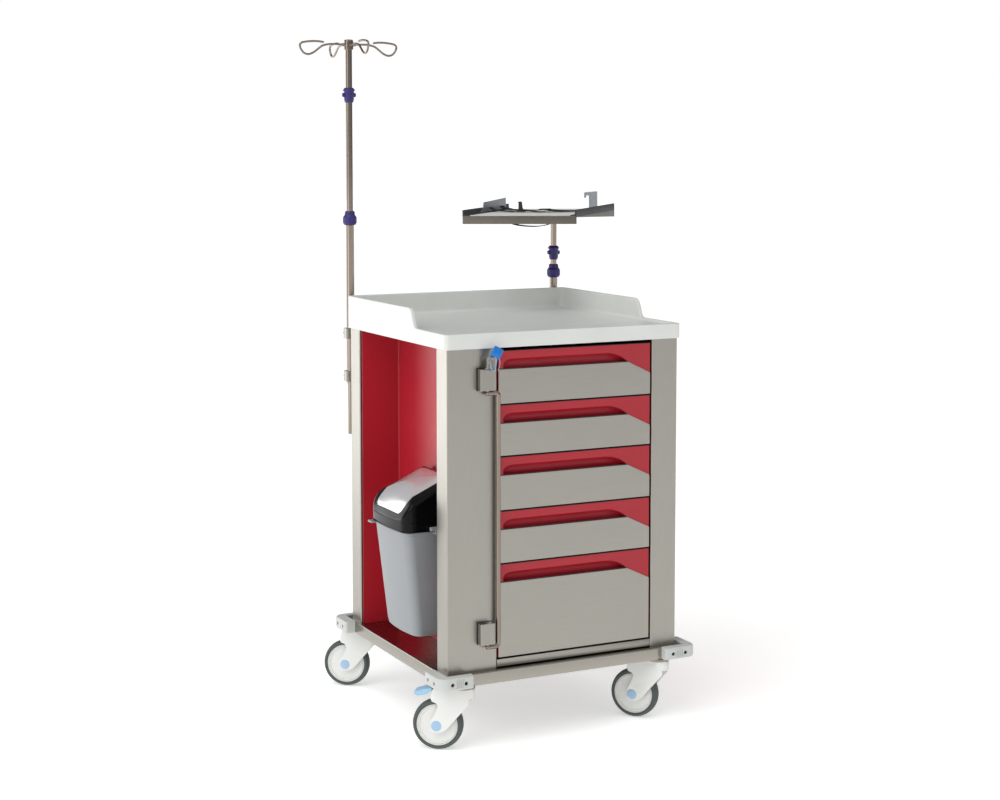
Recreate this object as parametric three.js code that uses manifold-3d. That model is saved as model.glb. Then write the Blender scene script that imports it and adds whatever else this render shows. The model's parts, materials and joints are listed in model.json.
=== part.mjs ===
// An emergency (resuscitation) trolley: a folded steel body with five drawers, a red side bay
// with a waste bin, a moulded worktop, an infusion mast and a rotating monitor tray.
// Millimetres, +Z up, +X to the trolley's right, +Y to its back. The trolley is modelled about
// the body's vertical centre line and moved at the end so that its whole box is centred.

import * as THREE from "three";
import { mergeVertices } from "three/addons/utils/BufferGeometryUtils.js";
import Module from "manifold-3d";

const wasm = await Module();
wasm.setup();

// ---------------------------------------------------------------- driving dimensions

const GAP = 0.3; // between pieces that touch
const SHEET = 1.5; // folded steel

const BODY = { x: 320, y: 306, bottom: 193, top: 978.5 }; // half width, half depth, heights
const COLUMN = { left: 132, right: 74, flange: 62, fold: 20 }; // face widths, side flange, returns
const COLUMN_TOP = 991.7; // the columns run up inside the worktop's skirt

const BASE = { x: 332, y: 326, bottom: 163, top: 193, plate: 2, pad: 120 };
const BUMPER = { out: 28, front: 22, arm: 92, bottom: 164.5, top: 195, radius: 26 };

const WORKTOP = { x: 327, y: 313, skirt: 978.5, underside: 992, floor: 1010, lip: 1016, wall: 1064 };
const WORKTOP_WALL = 10;

const BAY = { wallX: -213.5, backY: 230 }; // the red recess on the left

const DRAWER_LEVELS = [973, 841, 714, 581, 451, 218];
const FRONT = { left: -183.5, right: 241, gap: 4, red: 44, depth: 20 };
const CHAMFER = { width: 63, height: 30 };
const POCKET = { left: -170, right: 176, above: 25, below: 32, depth: 14 }; // about the plate's top edge
const BOX = { left: -172, right: 230, back: 215, wall: 1.5, below: 22 };
const RUNNER = { out: 11, thickness: 2, height: 56 };

const CASTOR = { diameter: 125, trail: 62, tyre: 32, hub: 34, x: 275, y: 298 };
const CASTOR_TURN = { front_left: 143, front_right: 129, rear_left: 143, rear_right: 136 };
const BRAKED = ["front_left", "front_right"];

const LOCK = { left: -241, right: -203, standOff: 20, axisX: -219, axisY: -318.5, barX: -190.5, tube: 12 };
const LOCK_TOP = 878;
const LOCK_BOTTOM = 259;
const LOCK_BODY = 52;

const POST_Y = 336;
const IV = { x: -308, tubeBottom: 825, tubeTop: 1250, rodBottom: 688, hub: 1727, stop: 1575 };
const MONITOR = { x: 308, tubeBottom: 825, tubeTop: 1091, rodBottom: 850, rodTop: 1242, stop: 1141 };
const CLAMP = { first: 20, second: 960, half: 14 }; // heights: above the tube's foot, and above the floor
const TUBE = { outer: 22, bore: 18, rod: 17, rodBore: 13.6 };
const HOOK = { reach: 138, dip: 27, dipAt: 118, tip: 72, tipHeight: 6, wire: 5.5 };
const TRAY = { width: 322, depth: 405, bottom: 1254, top: 1276, side: -24, forward: 48, turn: -44.5 };
const TRAY_SKIRT_FRONT = 4; // the side skirts taper from the full height to this at the front
const SIDE_PLATE = { front: -84, back: 118, height: 34 };
const REAR_HOOK = { left: 48, right: 87, height: 51, reach: 14, drop: 16 };
const STRAP = { front: -92, back: -67, thickness: 2.5 };

const BIN = { y: -71, back: -220, frontTop: -374, frontBottom: -345, bottom: 252, rim: 517, top: 655 };
const BIN_WIDTH = { top: 206, bottom: 186 };
const BIN_WALL = 2.5;

// ---------------------------------------------------------------- materials

const material = (color, roughness, metalness) =>
  new THREE.MeshStandardMaterial({ color, roughness, metalness });

const STEEL = material("#a5a29a", 0.35, 1);
const POLISHED = material("#b9b4ac", 0.15, 1);
const RED = material("#a11e2d", 0.5, 0);
const WORKTOP_WHITE = material("#d6d8d4", 0.45, 0);
const BUMPER_GREY = material("#c9ccc8", 0.55, 0);
const CASTOR_WHITE = material("#e2e3df", 0.45, 0);
const TYRE_GREY = material("#4b5350", 0.8, 0);
const PEDAL_BLUE = material("#a3c4dc", 0.4, 0);
const COLLAR_BLUE = material("#2e2268", 0.4, 0);
const BIN_GREY = material("#a0a4a6", 0.5, 0);
const GLOSS_BLACK = material("#0d0e10", 0.15, 0);
const FLAP_SILVER = material("#dcdddf", 0.2, 0.3);
const SEAL_BLUE = material("#1a86cf", 0.3, 0);
const WEBBING = material("#17171a", 0.9, 0);

// ---------------------------------------------------------------- shape helpers

const box = (x0, x1, y0, y1, z0, z1) =>
  new THREE.BoxGeometry(x1 - x0, y1 - y0, z1 - z0).translate((x0 + x1) / 2, (y0 + y1) / 2, (z0 + z1) / 2);

const shapeOf = (points) => new THREE.Shape(points.map(([a, b]) => new THREE.Vector2(a, b)));

const extrude = (shape, depth, curveSegments = 4) =>
  new THREE.ExtrudeGeometry(shape, { depth, bevelEnabled: false, curveSegments });

// A plan outline (x, y) raised from z0 to z1.
const prismZ = (shape, z0, z1) => extrude(shape, z1 - z0).translate(0, 0, z0);

// A side outline (x, z) carried from y0 to y1.
const prismY = (shape, y0, y1) => extrude(shape, y1 - y0).rotateX(Math.PI / 2).translate(0, y1, 0);

// A side outline (y, z) carried from x0 to x1.
const prismX = (shape, x0, x1) =>
  extrude(shape, x1 - x0).rotateX(Math.PI / 2).rotateZ(Math.PI / 2).translate(x0, 0, 0);

// A turned solid about +Z. A profile of (radius, z) runs up the outside; a ring's closes on itself.
const turned = (profile, segments = 32) =>
  new THREE.LatheGeometry(shapeOf(profile).getPoints(), segments).rotateX(Math.PI / 2);

const ring = (inner, outer, z0, z1, segments = 24) =>
  turned([[inner, z0], [outer, z0], [outer, z1], [inner, z1], [inner, z0]], segments);

const disc = (radius, z0, z1, segments = 24) =>
  turned([[0, z0], [radius, z0], [radius, z1], [0, z1]], segments);

// A round bar along a smooth curve.
function bar(points, diameter, steps, sides = 8) {
  const curve = new THREE.CatmullRomCurve3(points.map((p) => new THREE.Vector3(...p)), false, "catmullrom", 0.5);
  const section = new THREE.Shape();
  section.absarc(0, 0, diameter / 2, 0, 2 * Math.PI);
  const options = { steps, extrudePath: curve, curveSegments: sides / 2, bevelEnabled: false };
  return new THREE.ExtrudeGeometry(section, options);
}

// The section of a bent sheet: path is its outer side, and the sheet lies to the path's left.
function bentSheet(path, thickness = SHEET) {
  const points = path.map(([x, y]) => new THREE.Vector2(x, y));
  const normals = points.slice(1).map((p, i) => {
    const along = p.clone().sub(points[i]).normalize();
    return new THREE.Vector2(-along.y, along.x);
  });
  const inner = points.map((p, i) => {
    const before = normals[Math.max(i - 1, 0)];
    const after = normals[Math.min(i, normals.length - 1)];
    const mitre = before.clone().add(after).divideScalar(1 + before.dot(after));
    return p.clone().addScaledVector(mitre, thickness);
  });
  return new THREE.Shape([...points, ...inner.reverse()]);
}

// A rectangle with rounded corners, centred on (x, y).
function roundedRect(width, depth, radius, x = 0, y = 0) {
  const shape = new THREE.Shape();
  const [a, b] = [width / 2 - radius, depth / 2 - radius];
  shape.absarc(x + a, y - b, radius, -Math.PI / 2, 0);
  shape.absarc(x + a, y + b, radius, 0, Math.PI / 2);
  shape.absarc(x - a, y + b, radius, Math.PI / 2, Math.PI);
  shape.absarc(x - a, y - b, radius, Math.PI, 1.5 * Math.PI);
  return shape;
}

// A skin through rings of equally many points, closed by a flat cap at its first and last ring.
// The rings are counter-clockwise seen from above and the first one is the bottom.
function skin(rings) {
  const count = rings[0].length;
  const positions = rings.flat(2);
  const index = [];
  for (let r = 0; r + 1 < rings.length; r++) {
    for (let i = 0; i < count; i++) {
      const j = (i + 1) % count;
      const [a, b] = [r * count + i, r * count + j];
      index.push(a, b, b + count, a, b + count, a + count);
    }
  }
  const cap = (ringIndex, flip) => {
    const flat = rings[ringIndex].map(([x, y]) => new THREE.Vector2(x, y));
    for (const [a, b, c] of THREE.ShapeUtils.triangulateShape(flat, [])) {
      const corners = flip ? [c, b, a] : [a, b, c];
      index.push(...corners.map((k) => ringIndex * count + k));
    }
  };
  cap(0, true);
  cap(rings.length - 1, false);
  const geometry = new THREE.BufferGeometry();
  geometry.setAttribute("position", new THREE.Float32BufferAttribute(positions, 3));
  geometry.setIndex(index);
  return geometry;
}

function solidOf(geometry) {
  const bare = geometry.clone();
  for (const name of ["normal", "uv"]) bare.deleteAttribute(name);
  const merged = mergeVertices(bare, 1e-3);
  const index = merged.index.array;
  const kept = [];
  for (let i = 0; i < index.length; i += 3) {
    const [a, b, c] = index.slice(i, i + 3);
    if (a !== b && b !== c && c !== a) kept.push(a, b, c);
  }
  const mesh = { numProp: 3, vertProperties: merged.attributes.position.array, triVerts: new Uint32Array(kept) };
  return new wasm.Manifold(new wasm.Mesh(mesh));
}

function geometryOf(solid) {
  const mesh = solid.getMesh();
  const geometry = new THREE.BufferGeometry();
  geometry.setAttribute("position", new THREE.Float32BufferAttribute(mesh.vertProperties, 3));
  geometry.setIndex(new THREE.Uint32BufferAttribute(mesh.triVerts, 1));
  return geometry;
}

const join = (...pieces) => geometryOf(pieces.map(solidOf).reduce((a, b) => a.add(b)));
const cut = (body, ...tools) => geometryOf(tools.map(solidOf).reduce((a, b) => a.subtract(b), solidOf(body)));

const trolley = new THREE.Group();

function place(name, geometry, look, parent = trolley) {
  const mesh = new THREE.Mesh(geometry, look);
  mesh.name = name;
  parent.add(mesh);
  return mesh;
}

const CORNERS = {
  front_left: [-1, -1],
  front_right: [1, -1],
  rear_left: [-1, 1],
  rear_right: [1, 1],
};

// ---------------------------------------------------------------- base and bumpers

// A folded pan, open below, with a thick pad in each corner for the castor's stem.
function baseFrame() {
  const { x, y, bottom, top, plate, pad } = BASE;
  const under = box(-x + plate, x - plate, -y + plate, y - plate, bottom - 1, top - plate);
  const shell = cut(box(-x, x, -y, y, bottom, top), under);
  const pads = Object.values(CORNERS).map(([sx, sy]) => {
    const xs = [sx * (x - 1), sx * (x - pad)].sort((a, b) => a - b);
    const ys = [sy * (y - 1), sy * (y - pad)].sort((a, b) => a - b);
    return box(...xs, ...ys, bottom, top - 1);
  });
  return join(shell, ...pads);
}

// An L-shaped corner bumper round the base's corner, with a rounded nose and a bevelled underside.
function bumper(sx, sy) {
  const [x, y] = [BASE.x + GAP, BASE.y + GAP];
  const [outX, outY] = [BASE.x + BUMPER.out, BASE.y + BUMPER.front];
  const level = (inset) => {
    const r = BUMPER.radius;
    const shape = new THREE.Shape();
    shape.moveTo(x, y);
    shape.lineTo(x, outY - BUMPER.arm);
    shape.lineTo(outX - 6 - inset, outY - BUMPER.arm);
    shape.lineTo(outX - inset, outY - BUMPER.arm + 8);
    shape.lineTo(outX - inset, outY - r);
    shape.absarc(outX - r, outY - r, r - inset, 0, Math.PI / 2);
    shape.lineTo(outX - BUMPER.arm + 8, outY - inset);
    shape.lineTo(outX - BUMPER.arm, outY - 6 - inset);
    shape.lineTo(outX - BUMPER.arm, y);
    return shape.getPoints(5).slice(0, -1);
  };
  const mirrored = sx * sy < 0;
  const rings = [
    [BUMPER.bottom, 3],
    [BUMPER.bottom + 4, 0],
    [BUMPER.top - 3, 0],
    [BUMPER.top, 3],
  ].map(([z, inset]) => {
    const points = level(inset).map((p) => [sx * p.x, sy * p.y, z]);
    return mirrored ? points.reverse() : points;
  });
  return skin(rings);
}

place("base_frame", baseFrame(), STEEL);
for (const [corner, [sx, sy]] of Object.entries(CORNERS)) {
  place(`bumper_${corner}`, bumper(sx, sy), BUMPER_GREY);
}

// ---------------------------------------------------------------- castors

// In a castor's own frame its swivel axis is Z and its wheel trails towards +X.
function forkLeg(y0, y1) {
  const { trail, diameter } = CASTOR;
  const shape = new THREE.Shape();
  shape.moveTo(-28, 152);
  shape.lineTo(-28, 132);
  shape.lineTo(trail - 13, diameter / 2 - 11);
  shape.absarc(trail, diameter / 2, 17, 1.22 * Math.PI, 2 * Math.PI);
  shape.lineTo(trail + 17, diameter / 2 + 12);
  shape.lineTo(56, 118);
  shape.lineTo(80, 130);
  shape.lineTo(66, 152);
  return prismY(shape, y0, y1);
}

function fork() {
  const shell = new THREE.Shape();
  shell.absarc(2, 0, 30, Math.PI / 2, 1.5 * Math.PI);
  shell.lineTo(72, -25);
  shell.lineTo(72, 25);
  const legs = [forkLeg(20, 25), forkLeg(-25, -20)];
  return join(prismZ(shell, 131, 156), disc(30, 155, 162.7), ...legs);
}

function wheel() {
  const r = CASTOR.diameter / 2 - 11;
  const half = CASTOR.hub / 2;
  const profile = [[0, -half], [14, -half], [16, -half + 3], [r - 3, -half + 3], [r, -half + 5]];
  const mirrored = profile.map(([radius, z]) => [radius, -z]).reverse();
  return turned([...profile, ...mirrored], 28).rotateX(Math.PI / 2);
}

function tyre() {
  const outer = CASTOR.diameter / 2;
  const inner = outer - 11 + GAP;
  const half = CASTOR.tyre / 2;
  const profile = [[inner, -half + 1], [outer - 5, -half], [outer - 1, -half + 6], [outer, 0]];
  const upper = profile.slice(0, 3).map(([radius, z]) => [radius, -z]).reverse();
  return turned([...profile, ...upper, profile[0]], 40).rotateX(Math.PI / 2);
}

// A curved tread plate that stands out behind the fork, above the wheel.
function pedal() {
  const shape = new THREE.Shape();
  shape.moveTo(74.5, 147);
  shape.lineTo(88, 138);
  shape.lineTo(112, 134);
  shape.lineTo(120, 137);
  shape.lineTo(118, 143);
  shape.lineTo(98, 150);
  shape.lineTo(74.5, 155);
  return prismY(shape, -17, 17);
}

for (const [corner, [sx, sy]] of Object.entries(CORNERS)) {
  const castor = new THREE.Group();
  castor.position.set(sx * CASTOR.x, sy * CASTOR.y, 0);
  castor.rotation.z = THREE.MathUtils.degToRad(CASTOR_TURN[corner]);
  trolley.add(castor);
  place(`fork_${corner}`, fork(), CASTOR_WHITE, castor);
  const rolling = new THREE.Group();
  rolling.position.set(CASTOR.trail, 0, CASTOR.diameter / 2);
  castor.add(rolling);
  place(`wheel_${corner}`, wheel(), CASTOR_WHITE, rolling);
  place(`tyre_${corner}`, tyre(), TYRE_GREY, rolling);
  if (BRAKED.includes(corner)) place(`brake_pedal_${corner}`, pedal(), PEDAL_BLUE, castor);
}

// ---------------------------------------------------------------- body

// A folded column: its face, its side flange and a return at each end.
function column(width, sx, sy) {
  const { flange, fold } = COLUMN;
  const inner = BODY.x - width;
  const path = [
    [inner, BODY.y - fold],
    [inner, BODY.y],
    [BODY.x, BODY.y],
    [BODY.x, BODY.y - flange],
    [BODY.x - fold, BODY.y - flange],
  ].map(([x, y]) => [sx * x, sy * y]);
  // Mirroring a path changes the side it turns to, so it is walked the other way.
  const section = bentSheet(sx * sy > 0 ? path.reverse() : path);
  return prismZ(section, BODY.bottom + GAP, COLUMN_TOP);
}

place("column_front_left", column(COLUMN.left, -1, -1), STEEL);
place("column_front_right", column(COLUMN.right, 1, -1), STEEL);
place("column_rear_left", column(COLUMN.right, -1, 1), STEEL);
place("column_rear_right", column(COLUMN.right, 1, 1), STEEL);

const innerX = BODY.x - SHEET - GAP; // inside of the side flanges
const innerY = BODY.y - SHEET - GAP;
const panelBottom = BODY.bottom + GAP;

const bayPath = [[BAY.wallX, -innerY], [BAY.wallX, BAY.backY], [-innerX, BAY.backY]];
place("bay_panel", prismZ(bentSheet(bayPath.reverse()), panelBottom, COLUMN_TOP), RED);

const sideX = BODY.x - 8;
const sideY = BODY.y - COLUMN.flange - 6;
place("right_side_panel", box(sideX - SHEET, sideX, -sideY, sideY, panelBottom, COLUMN_TOP), RED);

const backX = BODY.x - COLUMN.right - SHEET - GAP;
place("back_panel", box(-backX, backX, innerY - 5, innerY - 5 + SHEET, panelBottom, COLUMN_TOP), STEEL);

const plinthLeft = -BODY.x + COLUMN.left + 0.5;
const plinthRight = BODY.x - COLUMN.right - 0.5;
place("plinth_rail", box(plinthLeft, plinthRight, -BODY.y, -BODY.y + 18, 196, 214), STEEL);

// ---------------------------------------------------------------- drawer racks and drawers

const runnerZ = (k) => DRAWER_LEVELS[k + 1] + RUNNER.height;
const RACK_Y = { front: -283, back: 226 };

// A side sheet with one ledge under each drawer's runner.
function rack(sheetX, ledgeX) {
  const [x0, x1] = sheetX;
  const sheet = box(x0, x1, RACK_Y.front, RACK_Y.back, panelBottom, DRAWER_LEVELS[0]);
  const ledges = DRAWER_LEVELS.slice(1).map((_, k) => {
    const top = runnerZ(k) - 0.5;
    return box(...ledgeX, RACK_Y.front, RACK_Y.back, top - 2.5, top);
  });
  return join(sheet, ...ledges);
}

const rackLeft = BAY.wallX + SHEET + GAP;
const rackRight = 268;
const ledgeClear = 4; // between a ledge and the drawer's side
place("drawer_rack_left", rack([rackLeft, rackLeft + SHEET], [rackLeft + 1, BOX.left - ledgeClear]), STEEL);
place("drawer_rack_right", rack([rackRight, rackRight + SHEET], [BOX.right + ledgeClear, rackRight + 1]), STEEL);

// A steel drawer: an open box whose floor runs forward and folds up as the front skin.
function drawerBox(k) {
  const bottom = DRAWER_LEVELS[k + 1] + 0.5;
  const top = DRAWER_LEVELS[k] - FRONT.gap;
  const skinTop = top - FRONT.red;
  const rimTop = top - BOX.below;
  const backOfFront = -BODY.y + FRONT.depth;
  const face = shapeOf([
    [FRONT.left, bottom],
    [FRONT.right, bottom],
    [FRONT.right, skinTop - CHAMFER.height],
    [FRONT.right - CHAMFER.width, skinTop],
    [FRONT.left, skinTop],
  ]);
  const skinSheet = prismY(face, -BODY.y, -BODY.y + SHEET);
  const frontFloor = box(FRONT.left, FRONT.right, -BODY.y, backOfFront + SHEET, bottom, bottom + SHEET);
  const outer = box(BOX.left, BOX.right, backOfFront, BOX.back, bottom, rimTop);
  const w = BOX.wall;
  const hollow = box(BOX.left + w, BOX.right - w, backOfFront + w, BOX.back - w, bottom + w, rimTop + 1);
  const z = runnerZ(k);
  const runners = [
    box(BOX.left - RUNNER.out, BOX.left + 1, backOfFront + 4, BOX.back, z, z + RUNNER.thickness),
    box(BOX.right - 1, BOX.right + RUNNER.out, backOfFront + 4, BOX.back, z, z + RUNNER.thickness),
  ];
  return join(cut(outer, hollow), skinSheet, frontFloor, ...runners);
}

// The red moulding behind the skin, with a finger pocket that runs down behind the skin's edge.
function drawerFront(k) {
  const bottom = DRAWER_LEVELS[k + 1] + 0.5 + SHEET + GAP;
  const top = DRAWER_LEVELS[k] - FRONT.gap;
  const front = -BODY.y + SHEET + GAP;
  const back = -BODY.y + FRONT.depth - GAP;
  const block = box(FRONT.left, FRONT.right, front, back, bottom, top);
  const lens = new THREE.Shape();
  const skinTop = top - FRONT.red;
  const [upper, lower] = [skinTop + POCKET.above, Math.max(skinTop - POCKET.below, bottom + 6)];
  lens.moveTo(POCKET.left, lower);
  lens.lineTo(POCKET.right, lower);
  lens.lineTo(POCKET.right, upper - 24);
  lens.quadraticCurveTo(POCKET.right - 24, upper, POCKET.right - 66, upper);
  lens.lineTo(POCKET.left + 30, upper);
  lens.quadraticCurveTo(POCKET.left, upper, POCKET.left, upper - 16);
  return cut(block, prismY(lens, front - 1, front + POCKET.depth));
}

for (let k = 0; k + 1 < DRAWER_LEVELS.length; k++) {
  place(`drawer_box_${k + 1}`, drawerBox(k), STEEL);
  place(`drawer_front_${k + 1}`, drawerFront(k), RED);
}

// ---------------------------------------------------------------- worktop

// A moulded top: a slab with a skirt, a sunken floor and a raised wall on three sides.
function worktop() {
  const { x, y, skirt, underside, floor, lip, wall } = WORKTOP;
  const w = WORKTOP_WALL;
  const slab = prismZ(roundedRect(2 * x, 2 * y, 12), skirt, lip);
  const below = prismZ(roundedRect(2 * (x - 5), 2 * (y - 5), 4), skirt - 1, underside);
  const side = new THREE.Shape();
  side.moveTo(y - 4, lip - 4);
  side.lineTo(y - 4, wall);
  side.lineTo(-90, wall);
  side.bezierCurveTo(-125, wall, -108, lip + 3, -142, lip + 1);
  side.lineTo(-y + 14, lip + 1);
  side.lineTo(-y + 14, lip - 4);
  const walls = [
    prismX(side, -x, -x + w),
    prismX(side, x - w, x),
    box(-x + 6, x - 6, y - w, y, lip - 4, wall),
  ];
  const basin = prismZ(roundedRect(2 * (x - w), 2 * y - 14 - w, 14, 0, (14 - w) / 2), floor, lip + 1);
  const solid = join(slab, ...walls);
  return cut(solid, below, basin);
}

place("worktop", worktop(), WORKTOP_WHITE);

// ---------------------------------------------------------------- lock bar

// A U-shaped cover on the column with a floor that holds the bar's hinge pin. The upper one
// carries a tongue with a hole for the seal.
function lockBracket(z, tongue) {
  const { left, right, standOff, axisX } = LOCK;
  const back = -BODY.y - GAP;
  const front = back - standOff;
  const path = [[right, back], [left, back], [left, front], [right, front]];
  const cover = prismZ(bentSheet(path), z, z + LOCK_BODY);
  const floor = cut(
    box(left + 0.5, right, front + 0.5, back - 0.5, z, z + 3),
    disc(4.6, z - 1, z + 4).translate(axisX, LOCK.axisY, 0),
  );
  if (!tongue) return join(cover, floor);
  const plate = new THREE.Shape();
  const top = z + LOCK_BODY + 34;
  plate.moveTo(left + 6, z + LOCK_BODY - 1);
  plate.lineTo(right, z + LOCK_BODY - 1);
  plate.lineTo(right, top - 11);
  plate.absarc(right - 11, top - 11, 11, 0, Math.PI);
  plate.lineTo(right - 22, z + LOCK_BODY + 10);
  plate.quadraticCurveTo(right - 23, z + LOCK_BODY, left + 6, z + LOCK_BODY);
  const hole = disc(4.5, -10, 10).rotateX(Math.PI / 2).translate(right - 11, front, top - 11);
  return join(cover, floor, cut(prismY(plate, front, front + SHEET), hole));
}

// The bar: a long tube, two arms back to the hinge line and a headed pin at each end.
function lockBar() {
  const y = LOCK.axisY;
  const arm = LOCK.tube / 2 + 1;
  const levels = [LOCK_TOP - arm, LOCK_BOTTOM - arm];
  const radius = LOCK.tube / 2;
  const upright = disc(radius, levels[1] - radius, levels[0] + radius, 20).translate(LOCK.barX, y, 0);
  const pieces = levels.flatMap((z) => {
    const length = LOCK.barX - LOCK.axisX;
    const rod = disc(radius - 0.2, 0, length, 16).rotateY(Math.PI / 2).translate(LOCK.axisX, y, z);
    const pin = turned([[0, z], [4, z], [4, z + 11], [5.5, z + 11], [5.5, z + 14], [0, z + 14]], 20);
    return [rod, pin.translate(LOCK.axisX, y, 0)];
  });
  return join(upright, ...pieces);
}

place("lock_bracket_top", lockBracket(LOCK_TOP, true), STEEL);
place("lock_bracket_bottom", lockBracket(LOCK_BOTTOM, false), STEEL);
place("lock_bar", lockBar(), POLISHED);

// A tamper seal: a square tag on a loop through the tongue's hole.
function seal() {
  const holeX = LOCK.right - 11;
  const holeZ = LOCK_TOP + LOCK_BODY + 23;
  const y = -BODY.y - GAP - LOCK.standOff + SHEET / 2;
  const tag = box(-12, 12, -5, 5, -12, 12).rotateY(0.55).translate(holeX + 10, y - 14, holeZ + 20);
  const loop = bar(
    [
      [holeX + 8, y - 13, holeZ + 14],
      [holeX + 1, y - 9, holeZ + 3],
      [holeX, y, holeZ],
      [holeX + 2, y + 7, holeZ + 5],
      [holeX + 9, y + 8, holeZ + 20],
      [holeX + 11, y + 6, holeZ + 34],
      [holeX + 11, y - 4, holeZ + 39],
      [holeX + 10, y - 13, holeZ + 28],
    ],
    3,
    20,
  );
  return join(tag, loop);
}

place("lock_seal", seal(), SEAL_BLUE);

// ---------------------------------------------------------------- masts

// An outer tube held off the body by two clamps.
function mastTube(x, bottom, top, toColumn) {
  const tube = ring(TUBE.bore / 2, TUBE.outer / 2, bottom, top, 28).translate(x, POST_Y, 0);
  const inner = x - toColumn * 6;
  const clamps = [bottom + CLAMP.first, CLAMP.second].map((z) => {
    const [z0, z1] = [z - CLAMP.half, z + CLAMP.half];
    const arm = box(inner - 12, inner + 12, BODY.y + GAP, POST_Y, z0, z1);
    const grip = box(x - 16, x + 16, POST_Y - 15, POST_Y + 15, z0, z1);
    const bore = disc(TUBE.bore / 2 + 1, z0 - 1, z1 + 1, 28).translate(x, POST_Y, 0);
    return cut(join(arm, grip), bore);
  });
  return join(tube, ...clamps);
}

// The sliding inner tube.
const mastRod = (x, bottom, top) =>
  ring(TUBE.rodBore / 2, TUBE.rod / 2, bottom, top, 24).translate(x, POST_Y, 0);

// The twist-lock collar on top of the outer tube, with a waist and grip ribs.
function lockCollar(x, z) {
  const bore = TUBE.rod / 2 + 0.4;
  const profile = [
    [bore, z],
    [15, z],
    [17.5, z + 4],
    [17.5, z + 22],
    [13.5, z + 27],
    [13.5, z + 33],
    [11.5, z + 37],
    [bore, z + 37],
    [bore, z],
  ];
  const ribs = [0, 1, 2, 3, 4, 5].map((i) =>
    box(16, 18.6, -2.5, 2.5, z + 5, z + 21).rotateZ((i * Math.PI) / 3),
  );
  return join(turned(profile, 20), ...ribs).translate(x, POST_Y, 0);
}

// The stop collar clamped on the inner tube, with two wings.
function wingCollar(x, z) {
  const bore = TUBE.rod / 2 + GAP;
  const profile = [
    [bore, z],
    [11, z],
    [13, z + 8],
    [13, z + 28],
    [15.5, z + 31],
    [15.5, z + 34],
    [11, z + 39],
    [bore, z + 39],
    [bore, z],
  ];
  const wings = [-1, 1].map((side) => box(11, 19, -3.5, 3.5, z + 12, z + 28).rotateZ(side > 0 ? 0 : Math.PI));
  return join(turned(profile, 20), ...wings).translate(x, POST_Y, 0);
}

// Four bent wires about a hub: each runs out, dips, rises round an outer loop and turns back in.
function hookHead() {
  const { reach, dip, dipAt, tip, tipHeight, wire } = HOOK;
  const route = [
    [6, 0, 0],
    [40, 0, 1],
    [72, 0, -3],
    [92, 0, -17],
    [dipAt - 6, 0, -dip],
    [dipAt + 12, 0, -dip + 6],
    [reach, 0, -dip + 22],
    [reach - 14, 0, 3],
    [reach - 40, 0, tipHeight + 2],
    [tip, 0, tipHeight],
  ];
  const arms = [0, 1, 2, 3].map((i) => bar(route, wire, 18).rotateZ((i * Math.PI) / 2));
  const hub = disc(12, -13, 14, 20);
  const ferrules = [0, 1, 2, 3].map((i) =>
    disc(4.2, 10, 20, 10).rotateY(Math.PI / 2).rotateZ((i * Math.PI) / 2),
  );
  const socket = disc(TUBE.rod / 2 + GAP, -14, 2, 24);
  return cut(join(hub, ...arms, ...ferrules), socket).translate(IV.x, POST_Y, IV.hub);
}

place("iv_outer_tube", mastTube(IV.x, IV.tubeBottom, IV.tubeTop, -1), POLISHED);
place("iv_inner_tube", mastRod(IV.x, IV.rodBottom, IV.hub + 1), POLISHED);
place("iv_hook_head", hookHead(), POLISHED);
place("iv_lock_collar", lockCollar(IV.x, IV.tubeTop + GAP), COLLAR_BLUE);
place("iv_stop_collar", wingCollar(IV.x, IV.stop), COLLAR_BLUE);

place("monitor_outer_tube", mastTube(MONITOR.x, MONITOR.tubeBottom, MONITOR.tubeTop, 1), POLISHED);
place("monitor_inner_tube", mastRod(MONITOR.x, MONITOR.rodBottom, MONITOR.rodTop), POLISHED);
place("monitor_lock_collar", lockCollar(MONITOR.x, MONITOR.tubeTop + GAP), COLLAR_BLUE);
place("monitor_stop_collar", wingCollar(MONITOR.x, MONITOR.stop), COLLAR_BLUE);

// ---------------------------------------------------------------- monitor tray

const tray = new THREE.Group();
tray.position.set(MONITOR.x, POST_Y, 0);
tray.rotation.z = THREE.MathUtils.degToRad(TRAY.turn);
trolley.add(tray);

// A folded pan, open below, on a boss. Its side skirts taper towards the front. Raised strips run
// along both sides, a plate stands on the left one and a hook on the rear edge.
function trayPan() {
  const { width, depth, bottom, top, side, forward } = TRAY;
  const [left, right] = [side - width / 2, side + width / 2];
  const [front, back] = [-depth / 2 - forward, depth / 2 - forward];
  const taper = shapeOf([
    [front + SHEET, bottom - 1],
    [back - SHEET, bottom - 1],
    [back - SHEET, bottom],
    [front + SHEET, top - TRAY_SKIRT_FRONT],
  ]);
  const shell = cut(
    box(left, right, front, back, bottom, top),
    box(left + SHEET, right - SHEET, front + SHEET, back - SHEET, bottom - 1, top - SHEET),
    prismX(taper, left - 1, right + 1),
  );
  const boss = disc(20, MONITOR.rodTop + GAP, top - 1, 24);
  const strips = [left, right - 2].map((x) => box(x, x + 2, front + 2, back - 2, top - 1, top + 16));
  const plate = box(left + 0.5, left + 2.5, SIDE_PLATE.front, SIDE_PLATE.back, top - 1, top + SIDE_PLATE.height);
  const { left: x0, right: x1, height, reach, drop } = REAR_HOOK;
  const y = back - 2.5;
  const hook = [
    box(x0, x1, y - 2, y, top - 1, top + height),
    box(x0, x1, y - reach, y, top + height - 2, top + height),
    box(x0, x1, y - reach, y - reach + 2, top + height - drop, top + height),
  ];
  return join(shell, boss, ...strips, plate, ...hook);
}

place("monitor_tray", trayPan(), STEEL, tray);

// The retaining strap lies across the tray between the side strips.
function trayStrap() {
  const { width, top, side } = TRAY;
  const half = width / 2 - 3;
  return box(side - half, side + half, STRAP.front, STRAP.back, top + GAP, top + GAP + STRAP.thickness);
}

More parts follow.
